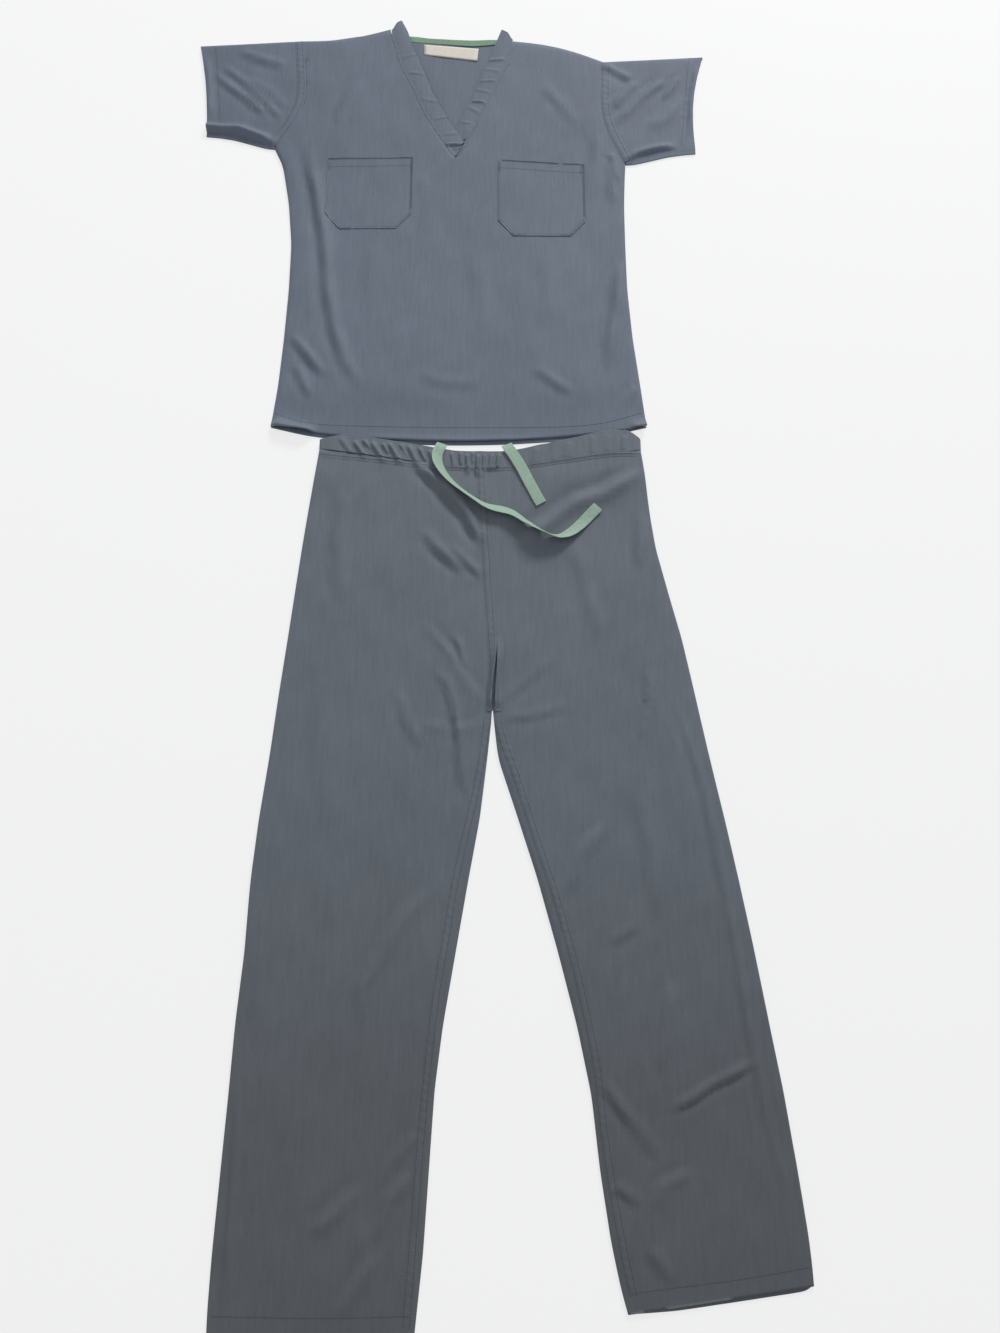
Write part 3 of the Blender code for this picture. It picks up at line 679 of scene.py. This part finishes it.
add_cloth("top_back", step=0.040)
add_cloth("top_front", own=HEM_LIFTS)
for side in ("right", "left"):
    add_cloth("sleeve_" + side, own=SLEEVE_LIFTS)
    add_cloth("neck_band_" + side, step=0.008,
              whole=True, own=BAND_PUCKERS)
    add_cloth("pocket_" + side, step=0.016, whole=True)

# %% [markdown]
# The two bands lap at the point of the V: the end of the left band goes under the right one. The
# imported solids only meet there, so the left band's end is drawn down and under its neighbour.

# %% Lap of the neck bands
LAP_LINE = ((0.0068, 0.6770), (-0.0085, 0.6985))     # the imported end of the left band
LAP_REACH = 0.012
LAP_MOVE = (-0.0062, -0.0046, -0.0012)


def tuck_band_end(piece):
    """Draws the end of a band along and down, less and less away from its end."""
    points, _ = read_points(piece.data)
    (x0, y0), (x1, y1) = LAP_LINE
    length = math.hypot(x1 - x0, y1 - y0)
    away = np.abs((points[:, 0] - x0) * (y1 - y0) - (points[:, 1] - y0) * (x1 - x0)) / length
    pull = soft_step(1.0 - away / LAP_REACH)
    points += pull[:, None] * np.array(LAP_MOVE)
    write_points(piece, points)


tuck_band_end(cloth["neck_band_left"])
print("left band tucked", round(math.hypot(*LAP_MOVE[:2]) * 1000, 1), "mm under the right one")

# %% [markdown]
# The lapped end is folded under just above the point, and the fold shows as a line across it. At the
# shoulders the outer corners of the bands are drawn in to meet the shoulder seams.

# %% Point and corners of the neck bands
TIP_LINE = (0.6640, 0.0010)          # where the lapped end was folded under, and how sharply
TIP_DROP = 0.0009
BAND_CORNERS = (
    # piece | corner at the shoulder | how far it is drawn in
    ("neck_band_right", (-0.1102, 0.8861), (0.0018, -0.0080)),
    ("neck_band_left", (0.0792, 0.8706), (-0.0016, -0.0080)),
)
CORNER_REACH = 0.013


def fold_band_tip(piece):
    """Drops the tip below the fold of the lapped end, so that the fold shows as a line across the band."""
    points, normals = read_points(piece.data)
    line, sharpness = TIP_LINE
    below = soft_step((line - points[:, 1]) / sharpness)
    points[:, 2] -= below * TIP_DROP * (0.4 + 0.6 * soft_step(normals[:, 2]))
    write_points(piece, points)


def draw_corner(piece, corner, move):
    """Moves a corner, and less and less what lies round it."""
    points, _ = read_points(piece.data)
    away = np.hypot(points[:, 0] - corner[0], points[:, 1] - corner[1])
    pull = soft_step(1.0 - away / CORNER_REACH)
    points[:, :2] += pull[:, None] * np.array(move)
    write_points(piece, points)


fold_band_tip(cloth["neck_band_right"])
for node, corner, move in BAND_CORNERS:
    draw_corner(cloth[node], corner, move)
print("bands folded at the point, and", len(BAND_CORNERS), "corners drawn in")

# %% [markdown]
# The pockets are pressed flat on the front. Their mouths hardly stand up from it, and the edges
# that were turned under are thickest along the bottom of the left one.

# %% Pressed pockets
POCKET_PRESS = {
    # side: how much thinner at the mouth | at the bottom
    "right": (0.00040, 0.00035),
    "left": (0.00040, 0.00005),
}


def press_pocket(piece, at_mouth, at_bottom):
    points, normals = read_points(piece.data)
    low, high = points[:, 1].min(), points[:, 1].max()
    share = soft_step((points[:, 1] - low) / (high - low))
    thinner = at_bottom + (at_mouth - at_bottom) * share
    points[:, 2] -= thinner * (1.0 + normals[:, 2]) / 2.0
    write_points(piece, points)


for side, (at_mouth, at_bottom) in POCKET_PRESS.items():
    press_pocket(cloth["pocket_" + side], at_mouth, at_bottom)
print("pockets pressed")

# %% [markdown]
# ## Neck tape and label
# A ribbed green tape covers the back neck seam, and a bare cream label hangs from it.

# %% Neck tape and label
add_cloth("neck_tape", step=0.006, levels=1,
          look=green_look, slot="green_tape", base=1.0)
add_cloth("neck_label", step=0.006, levels=1,
          look=cream_look, slot="cream_label", base=1.0)
print("tape and label laid on the back panel")

# %% [markdown]
# ## The trousers
# Each leg is a flattened tube from the waist seam to the hem, and the waistband is a casing that
# the drawstring gathers into small upright folds.

# %% Trousers
for side in ("right", "left"):
    add_cloth("leg_" + side,
              look=trouser_look, own=GATHERS)
add_cloth("waistband", step=0.006,
          look=trouser_look, own=GATHERS)
print(len(cloth), "pieces of cloth so far")

# %% [markdown]
# ## Drawstring
# The two free ends of the drawstring are one flat woven tape, 15 mm wide, that comes out of the
# casing behind its upper edge, turns on to its edge in places and ends cut square. Each end is a
# grid laid along its route: a list of points with the tape's clearance over the cloth and its tilt.

# %% Drawstring
STRING_WIDTH = 0.015
STRING_WALL = 0.0010
LOFT = 0.0052
CORNER_LIFT = 0.0034
WAIST_DIP = (0.020, 0.035, 0.115)
# x, y | clearance of the lower edge over the cloth | tilt in degrees
STRING_RIGHT_ROUTE = (
    (-0.0215, 0.1750, -0.0016, 0), (-0.0240, 0.1680, 0.0014, 3), (-0.0280, 0.1565, 0.0014, 14),
    (-0.0262, 0.1425, 0.0013, 34), (-0.0178, 0.1265, 0.0007, 48), (-0.0055, 0.1120, 0.0006, 56),
    (0.0085, 0.1000, 0.0006, 60), (0.0235, 0.0890, 0.0006, 58), (0.0365, 0.0808, 0.0006, 50),
    (0.0490, 0.0768, 0.0006, 38), (0.0610, 0.0745, 0.0006, 34), (0.0725, 0.0705, 0.0006, 40),
    (0.0835, 0.0633, 0.0006, 48), (0.0965, 0.0525, 0.0006, 56), (0.1100, 0.0435, 0.0008, 64),
    (0.1240, 0.0378, 0.0010, 66), (0.1375, 0.0362, 0.0008, 50), (0.1510, 0.0425, 0.0006, 26),
    (0.1650, 0.0545, 0.0006, 10), (0.1775, 0.0675, 0.0006, 0), (0.1890, 0.0795, 0.0006, 0),
)
STRING_LEFT_ROUTE = (
    (0.0665, 0.1735, -0.0016, 0), (0.0695, 0.1665, 0.0015, 0), (0.0750, 0.1580, 0.0018, 0),
    (0.0815, 0.1470, 0.0016, 0), (0.0880, 0.1350, 0.0013, 0), (0.0950, 0.1200, 0.0009, 0),
    (0.1020, 0.1060, 0.0006, 0), (0.1080, 0.0940, 0.0006, 0), (0.1130, 0.0850, 0.0006, 0),
)
STEPS_BETWEEN = 6        # stations between two route points
IN_CASING = 9            # stations at the start that stay down in the casing
TAPE_COLUMNS = 9
TAPE_GAP = 0.0002        # least gap between the tape and the cloth
TAPE_EDGE = 0.0003       # rounding of its edges
ABOVE = 0.2              # where a line dropped on to the cloth starts
DOWN = Vector((0.0, 0.0, -1.0))
print(len(STRING_RIGHT_ROUTE) + len(STRING_LEFT_ROUTE), "points on the two routes")

# %% [markdown]
# A tape has to lie on the creased cloth without cutting into it. So a line is dropped on to the cloth
# at five places across every station, and the station is lifted clear of the highest of them.

# %% Lay the tapes
def surface_tree(pieces):
    """A search tree over several pieces, for dropping points on to them."""
    points, faces = [], []
    for piece in pieces:
        offset = len(points)
        points += [point.co for point in piece.data.vertices]
        faces += [[index + offset for index in face.vertices] for face in piece.data.polygons]
    return BVHTree.FromPolygons(points, faces)


def height_at(tree, x, y, missing):
    hit = tree.ray_cast(Vector((x, y, ABOVE)), DOWN)
    return hit[0].z if hit[0] else missing


def waist_lift(x, y):
    """Height of the trousers over the hem of the top, at the waist's corners."""
    middle, full, gone = WAIST_DIP
    share = soft_step((abs(x - middle) - full) / (gone - full))
    return CORNER_LIFT * float(share) * float(soft_step((y - 0.06) / 0.09))


def curve_through(rows, steps):
    """Rows of numbers on a smooth curve through the given rows."""
    out = []
    for index in range(len(rows) - 1):
        before, after = rows[max(0, index - 1)], rows[min(len(rows) - 1, index + 2)]
        for step in range(steps):
            t = step / steps
            out.append(tuple(
                0.5 * (2 * q + (r - p) * t + (2 * p - 5 * q + 4 * r - s) * t**2
                       + (3 * q - p - 3 * r + s) * t**3)
                for p, q, r, s in zip(before, rows[index], rows[index + 1], after)))
    out.append(rows[-1])
    return out


def new_grid(name, columns, rows, place):
    """A grid whose points are put where place(column, row) says, both running from 0."""
    bpy.ops.object.select_all(action="DESELECT")
    bpy.ops.mesh.primitive_grid_add(x_subdivisions=columns - 1, y_subdivisions=rows - 1, size=1.0)
    piece = bpy.context.object
    piece.name = name
    for point in piece.data.vertices:
        column = round((point.co.x + 0.5) * (columns - 1))
        row = round((point.co.y + 0.5) * (rows - 1))
        point.co = place(column, row)
    return piece


def make_string(name, node, route, tree):
    """A flat tape along its route, lifted wherever the creased cloth reaches it."""
    rows = [(x, y, LOFT + waist_lift(x, y) + clearance + STRING_WALL / 2
             + STRING_WIDTH / 2 * math.sin(math.radians(tilt)), tilt) for x, y, clearance, tilt in route]
    rows = curve_through(rows, STEPS_BETWEEN)
    centres = [Vector(row[:3]) for row in rows]
    frames = []
    for index, row in enumerate(rows):
        run = (centres[min(index + 1, len(rows) - 1)] - centres[max(index - 1, 0)]).normalized()
        across = run.cross(Vector((0, 0, 1))).normalized()
        tilt = math.radians(row[3])
        frames.append(across * math.cos(tilt) + across.cross(run) * math.sin(tilt))
    lifts = []
    for index, (centre, aside) in enumerate(zip(centres, frames)):
        need = 0.0
        for share in (-1.0, -0.5, 0.0, 0.5, 1.0):
            point = centre + aside * (STRING_WIDTH / 2 * share)
            cover = height_at(tree, point.x, point.y, 0.0)
            need = max(need, cover + STRING_WALL / 2 + TAPE_GAP - point.z)
        lifts.append(need if index > IN_CASING else 0.0)
    smooth_lifts = []
    for index in range(len(lifts)):
        near = lifts[max(0, index - 4):index + 5]
        smooth_lifts.append(max(near) * 0.5 + sum(near) / len(near) * 0.5)
    centres = [centre + Vector((0, 0, lift)) for centre, lift in zip(centres, smooth_lifts)]

    def place(column, row):
        share = column / (TAPE_COLUMNS - 1) * 2.0 - 1.0
        ripple = 0.0002 * math.sin(row * 1.3 + column) * abs(share)
        return centres[row] + frames[row] * (-share * STRING_WIDTH / 2) + Vector((0, 0, ripple))

    string = new_grid(name, TAPE_COLUMNS, len(rows), place)
    wall = string.modifiers.new("wall", "SOLIDIFY")
    wall.thickness = STRING_WALL
    wall.offset = 0.0
    edge = string.modifiers.new("edge", "BEVEL")
    edge.width = TAPE_EDGE
    edge.segments = 2
    for modifier in ("wall", "edge"):
        select_only(string)
        bpy.ops.object.modifier_apply(modifier=modifier)
    bpy.ops.object.shade_smooth_by_angle(angle=RIM_ANGLE)
    finish_cloth(string, mint_look, "mint_string", node)
    length = sum((b - a).length for a, b in zip(centres, centres[1:]))
    tuple(centres[0])
    [tuple(centre) for centre in centres]
    print(name, round(length, 3), "m long")
    return string


trouser_tree = surface_tree([cloth[name] for name in ("leg_right", "leg_left", "waistband", "top_front")])
make_string("drawstring_right", "drawstring_right_end", STRING_RIGHT_ROUTE, trouser_tree)
make_string("drawstring_left", "drawstring_left_end", STRING_LEFT_ROUTE, trouser_tree)

# %% [markdown]
# ## Seams and stitches
# A sewn seam is a low ridge of folded cloth with rows of thread pulled into it. Each seam is a line
# of points, in millimetres. All the seams stand in one table, so ridge and thread follow one line.

# %% Seam lines
SEAMS = metres((
    # name | rows of stitches: offsets from the line | strip half width (0 for none) | points
    ("armhole_right", (0, 8.5), 7.5, ((-248, 860), (-245, 822), (-241, 780), (-243, 742), (-257, 704),
        (-273, 678), (-280, 664))),
    ("armhole_left", (0, -8.5), 7.5, ((216, 820), (214, 782), (213, 746), (215.5, 712), (225.5, 680),
        (237.5, 652), (244, 637))),
    ("cuff_right", (0,), 0, ((-382, 850), (-372.5, 780), (-364, 704))),
    ("cuff_left", (0,), 0, ((348, 826), (339.5, 756), (329, 666))),
    ("top_hem", (0,), 0, ((-254.5, 222), (-230, 212.5), (-186, 204.5), (-61, 200.5), (50, 200), (140, 201),
        (200, 207), (255, 223))),
    ("front_rise", (-0.8, -7.8), 6.8, ((27.9, 138), (28.8, 105), (31.8, 60), (34.8, 10), (38.8, -50),
        (42.8, -110), (46.3, -170), (48, -198))),
    ("inseam_right", (0, -7), 6, ((37.5, -208.5), (33, -250), (24, -301), (11, -358), (-2, -421),
        (-9.5, -470), (-21.5, -545), (-30.5, -628), (-36.5, -702), (-41.5, -780), (-46, -850),
        (-49, -892))),
    ("inseam_left", (0, 7), 6, ((58.5, -214), (64, -235), (74, -262), (87, -300), (106, -360), (129, -430),
        (147, -495), (162, -560), (173, -620), (180, -690), (188, -750), (198, -810), (209, -862))),
    ("leg_hem_right", (0,), 0, ((-260, -880), (-150, -881.5), (-42, -880))),
    ("leg_hem_left", (0,), 0, ((202, -858), (250, -852), (330, -843), (400, -832))),
    ("waist_seam", (0,), 4.5, ((-188, 158), (-150, 153.5), (-100, 148), (-50, 142), (30, 137.5),
        (90, 140.5), (150, 149), (200, 157), (248, 158))),
    ("neck_right", (), 3.2, ((-9.5, 646.5), (-18.5, 661), (-40.5, 698.5), (-57.1, 728.3), (-74.6, 772.2),
        (-93.6, 814.2), (-104.6, 856.1), (-110.8, 876.1))),
    ("neck_left", (), 3.2, ((3, 669), (16.1, 697.2), (30.1, 731.2), (47.6, 771.2), (65.6, 814.2),
        (74.1, 843.2), (76.8, 856.2))),
    ("neck_lap", (), 2.4, ((-17, 660.5), (-8.5, 660), (1, 662.5), (6, 669))),
    ("pocket_mouth_right", (0,), 0, ((-196, 626.5), (-135.5, 628), (-74.5, 629.5))),
    ("pocket_mouth_left", (0,), 0, ((57, 624.5), (119, 620.5), (181, 616.5))),
    ("pocket_edge_right", (0,), 0, ((-195.8, 640), (-195.8, 590), (-195.8, 547.5), (-194.8, 545.2),
        (-187, 536), (-177.2, 523.8), (-174, 521.7), (-135.5, 521.7), (-96.8, 521.7), (-94, 523.8),
        (-84, 536), (-76.2, 545.2), (-75.2, 547.5), (-75.2, 590), (-75.2, 642))),
    ("pocket_edge_left", (0,), 0, ((57.7, 637), (57.7, 580), (57.7, 535.5), (58.7, 533.2), (66.5, 524),
        (76.3, 511.8), (79.5, 509.7), (118.7, 509.7), (158.2, 509.7), (161, 511.8), (171.2, 524),
        (178.8, 533.2), (179.8, 535.5), (179.8, 580), (179.8, 629))),
))
# Bar tacks: short dense rows of thread that hold the corners of the pocket mouths
TACKS = (
    ("pocket_tacks_right", (((-0.1965, 0.6340), (-0.1960, 0.6210)), ((-0.0742, 0.6345), (-0.0745, 0.6190)))),
    ("pocket_tacks_left", (((0.0568, 0.6350), (0.0568, 0.6190)), ((0.1770, 0.6275), (0.1776, 0.6130)))),
)
TACK_OFFSETS = (-0.0004, 0.0004)
MATCHED_SEAMS = ("pocket_mouth_right", "pocket_mouth_left", "pocket_edge_right")     # thread like the cloth
print(len(SEAMS), "seams and", len(TACKS), "pairs of bar tacks")

# %% [markdown]
# Every stitch is the same small bead, copied along its seam and dropped on to the cloth. All the
# stitches of a seam are one mesh, because thousands of separate objects would be slow.

# %% Stitch bead
STITCH_PITCH = 0.0034
STITCH_LENGTH = 0.0025
STITCH_WIDTH = 0.00062
STITCH_SUNK = 0.22       # centre of a bead over the cloth, as a share of its width


def line_stations(points, pitch, offset=0.0):
    """Evenly spaced places on a smooth line: x, y and direction, shifted sideways by the offset."""
    fine = curve_through(points, 12)
    places = []
    carried = pitch / 2
    for (x0, y0), (x1, y1) in zip(fine, fine[1:]):
        length = math.hypot(x1 - x0, y1 - y0)
        if length < 1e-7:
            continue
        run_x, run_y = (x1 - x0) / length, (y1 - y0) / length
        while carried < length:
            places.append((x0 + run_x * carried + run_y * offset, y0 + run_y * carried - run_x * offset,
                           run_x, run_y))
            carried += pitch
        carried -= length
    return places


all_cloth = surface_tree(list(cloth.values()))
bpy.ops.object.select_all(action="DESELECT")
bpy.ops.mesh.primitive_uv_sphere_add(segments=6, ring_count=5, radius=0.5)
bead = bpy.context.object
bead_points = np.array([tuple(point.co) for point in bead.data.vertices])
bead_points = bead_points[:, [2, 0, 1]] * (STITCH_LENGTH, STITCH_WIDTH, STITCH_WIDTH)
bead_faces = [tuple(face.vertices) for face in bead.data.polygons]
bpy.data.objects.remove(bead, do_unlink=True)


def lay_stitches(name, lines, look):
    """One mesh of beads laid along several lines on the cloth."""
    points, faces = [], []
    for line, offset in lines:
        for x, y, run_x, run_y in line_stations(line, STITCH_PITCH, offset):
            hit = all_cloth.ray_cast(Vector((x, y, ABOVE)), DOWN)
            if not hit[0]:
                continue
            normal = hit[1]
            run = Vector((run_x, run_y, 0.0))
            run = (run - normal * run.dot(normal)).normalized()
            side = normal.cross(run)
            turn = np.array([tuple(run), tuple(side), tuple(normal)])
            centre = np.array(tuple(hit[0] + normal * (STITCH_SUNK * STITCH_WIDTH)))
            first = len(points) * len(bead_points)
            points.append(bead_points @ turn + centre)
            faces += [tuple(first + index for index in face) for face in bead_faces]
    mesh = bpy.data.meshes.new(name)
    mesh.from_pydata(np.concatenate(points).tolist(), [], faces)
    piece = bpy.data.objects.new(name, mesh)
    bpy.context.scene.collection.objects.link(piece)
    select_only(piece)
    bpy.ops.object.shade_smooth()
    finish_cloth(piece, look, "scrub_cloth")
    print(name, len(points), "stitches")
    return piece


print("a bead of", len(bead_points), "points every", round(STITCH_PITCH * 1000, 1), "mm")

# %% [markdown]
# Where a seam is felled, its folded edges lie under the stitches as a narrow ridge, and the thread
# draws small puckers into it. A strip that follows the cloth gives the ridge. It ends where the cloth
# does, so that it never hangs over an edge.

# %% Seam ridges
STRIP_PROFILE = (
    # share of the half width | height over the cloth
    (-1.0, -0.0003), (-0.86, 0.00035), (-0.62, 0.00010), (-0.32, 0.00045), (0.0, 0.00055),
    (0.32, 0.00045), (0.62, 0.00010), (0.86, 0.00035), (1.0, -0.0003),
)
STRIP_STEP = 0.0022
STRIP_WALL = 0.0006
PUCKER_PITCH = 0.0105
PUCKER_HEIGHT = 0.00022


def cover_near(x, y, centre_x, centre_y):
    """The place itself or, where no cloth is under it, the first one towards the centre that has some."""
    for step in range(11):
        share = step / 10
        place_x, place_y = x + (centre_x - x) * share, y + (centre_y - y) * share
        height = height_at(all_cloth, place_x, place_y, None)
        if height is not None:
            return Vector((place_x, place_y, height))
    return None


def close_grid(name, columns, rows, place, thickness, look):
    """A grid laid by place(column, row), thickened downwards and finished as sewn cloth."""
    strip = new_grid(name, columns, rows, place)
    wall = strip.modifiers.new("wall", "SOLIDIFY")
    wall.thickness = thickness
    wall.offset = -1.0
    select_only(strip)
    bpy.ops.object.modifier_apply(modifier="wall")
    bpy.ops.object.shade_smooth_by_angle(angle=RIM_ANGLE)
    finish_cloth(strip, look, "scrub_cloth")
    return strip


def cloth_stations(points, offset):
    """The stations of a seam that have cloth under them."""
    return [row for row in line_stations(points, STRIP_STEP, offset)
            if height_at(all_cloth, row[0], row[1], None) is not None]


def lay_strip(name, points, offset, half_width, look):
    """The folded ridge of a felled seam: a narrow strip over the cloth, puckered by its stitches."""
    stations = cloth_stations(points, offset)

    def place(column, row):
        x, y, run_x, run_y = stations[row]
        share, height = STRIP_PROFILE[column]
        aside = (run_y * half_width, -run_x * half_width)
        left = cover_near(x - aside[0], y - aside[1], x, y)
        right = cover_near(x + aside[0], y + aside[1], x, y)
        here = cover_near(x + aside[0] * share, y + aside[1] * share, x, y)
        between = left.z + (right.z - left.z) * (share + 1.0) / 2.0
        travelled = row * STRIP_STEP
        wander = 1.7 * share + 0.9 * math.sin(travelled * 70.0)
        pucker = math.sin(travelled * math.tau / PUCKER_PITCH + wander)
        pucker *= PUCKER_HEIGHT * (0.6 + 0.4 * math.sin(travelled * 31.0))
        ends = float(soft_step(min(row, len(stations) - 1 - row) / 3.0))
        rise = (height + pucker * (1.0 - share * share * 0.7)) * ends
        return Vector((here.x, here.y, max(between, here.z) + rise))

    return close_grid(name, len(STRIP_PROFILE), len(stations), place, STRIP_WALL, look)


strips = []
for name, offsets, half_width, points in SEAMS:
    if half_width:
        look = scrub_look if name.startswith(("armhole", "neck")) else trouser_look
        middle = sum(offsets) / len(offsets) if offsets else 0.0
        strips.append(lay_strip("seam_" + name, points, middle, half_width, look))
print(len(strips), "seam ridges")

# %% [markdown]
# At the fork of the legs the seam folds back on itself. Its two lips stand up on both sides of a
# narrow deep slot, so the fork looks dark.

# %% Fold at the fork
FORK_LINE = ((0.0530, -0.0960), (0.0537, -0.1150), (0.0525, -0.1380), (0.0503, -0.1600), (0.0490, -0.1860),
             (0.0487, -0.2030))
FORK_HEIGHT = 0.0060
FORK_SLOT = (0.0006, 0.0048)         # width of the slot at its upper end and near the fork
FORK_WALL = 0.0005
FORK_LEVEL = 0.0062                  # the slot's sides start no higher than this
FORK_PROFILE = (
    # side of the slot | distance from the slot's side | share of the height
    (-1, 0.0062, 0.00), (-1, 0.0036, 0.50), (-1, 0.0012, 0.98), (-1, 0.0002, 0.96), (-1, 0.0006, 0.40),
    (-1, 0.0003, 0.05), (1, 0.0003, 0.05), (1, 0.0006, 0.40), (1, 0.0002, 0.98), (1, 0.0014, 1.00),
    (1, 0.0044, 0.50), (1, 0.0085, 0.00),
)
fork_stations = cloth_stations(FORK_LINE, 0.0)


def fork_place(column, row):
    x, y, run_x, run_y = fork_stations[row]
    side, distance, share = FORK_PROFILE[column]
    along = row / (len(fork_stations) - 1)
    narrow, wide = FORK_SLOT
    slot = narrow + (wide - narrow) * float(soft_step(along * 1.3))
    tall = FORK_HEIGHT * float(soft_step(along * 2.5))
    tall *= 0.15 + 0.85 * float(soft_step((1.0 - along) * 7.0))
    away = -side * (slot / 2 + distance)
    here = cover_near(x + run_y * away, y - run_x * away, x, y)
    level = min(here.z, FORK_LEVEL) if distance < 0.005 else here.z
    return Vector((here.x, here.y, level + 0.0002 + tall * share))


strips.append(close_grid("seam_fork", len(FORK_PROFILE), len(fork_stations), fork_place, FORK_WALL,
                         trouser_look))
print("fold at the fork,", round(FORK_HEIGHT * 1000, 1), "mm high")

# %% [markdown]
# The stitches come last, because they lie on the ridges too.

# %% Stitches
all_cloth = surface_tree(list(cloth.values()) + strips)
for name, offsets, half_width, points in SEAMS:
    if offsets:
        look = matched_thread if name in MATCHED_SEAMS else thread
        lay_stitches("stitches_" + name, [(points, offset) for offset in offsets], look)
for name, lines in TACKS:
    lay_stitches("stitches_" + name, [(line, offset) for line in lines for offset in TACK_OFFSETS], thread)
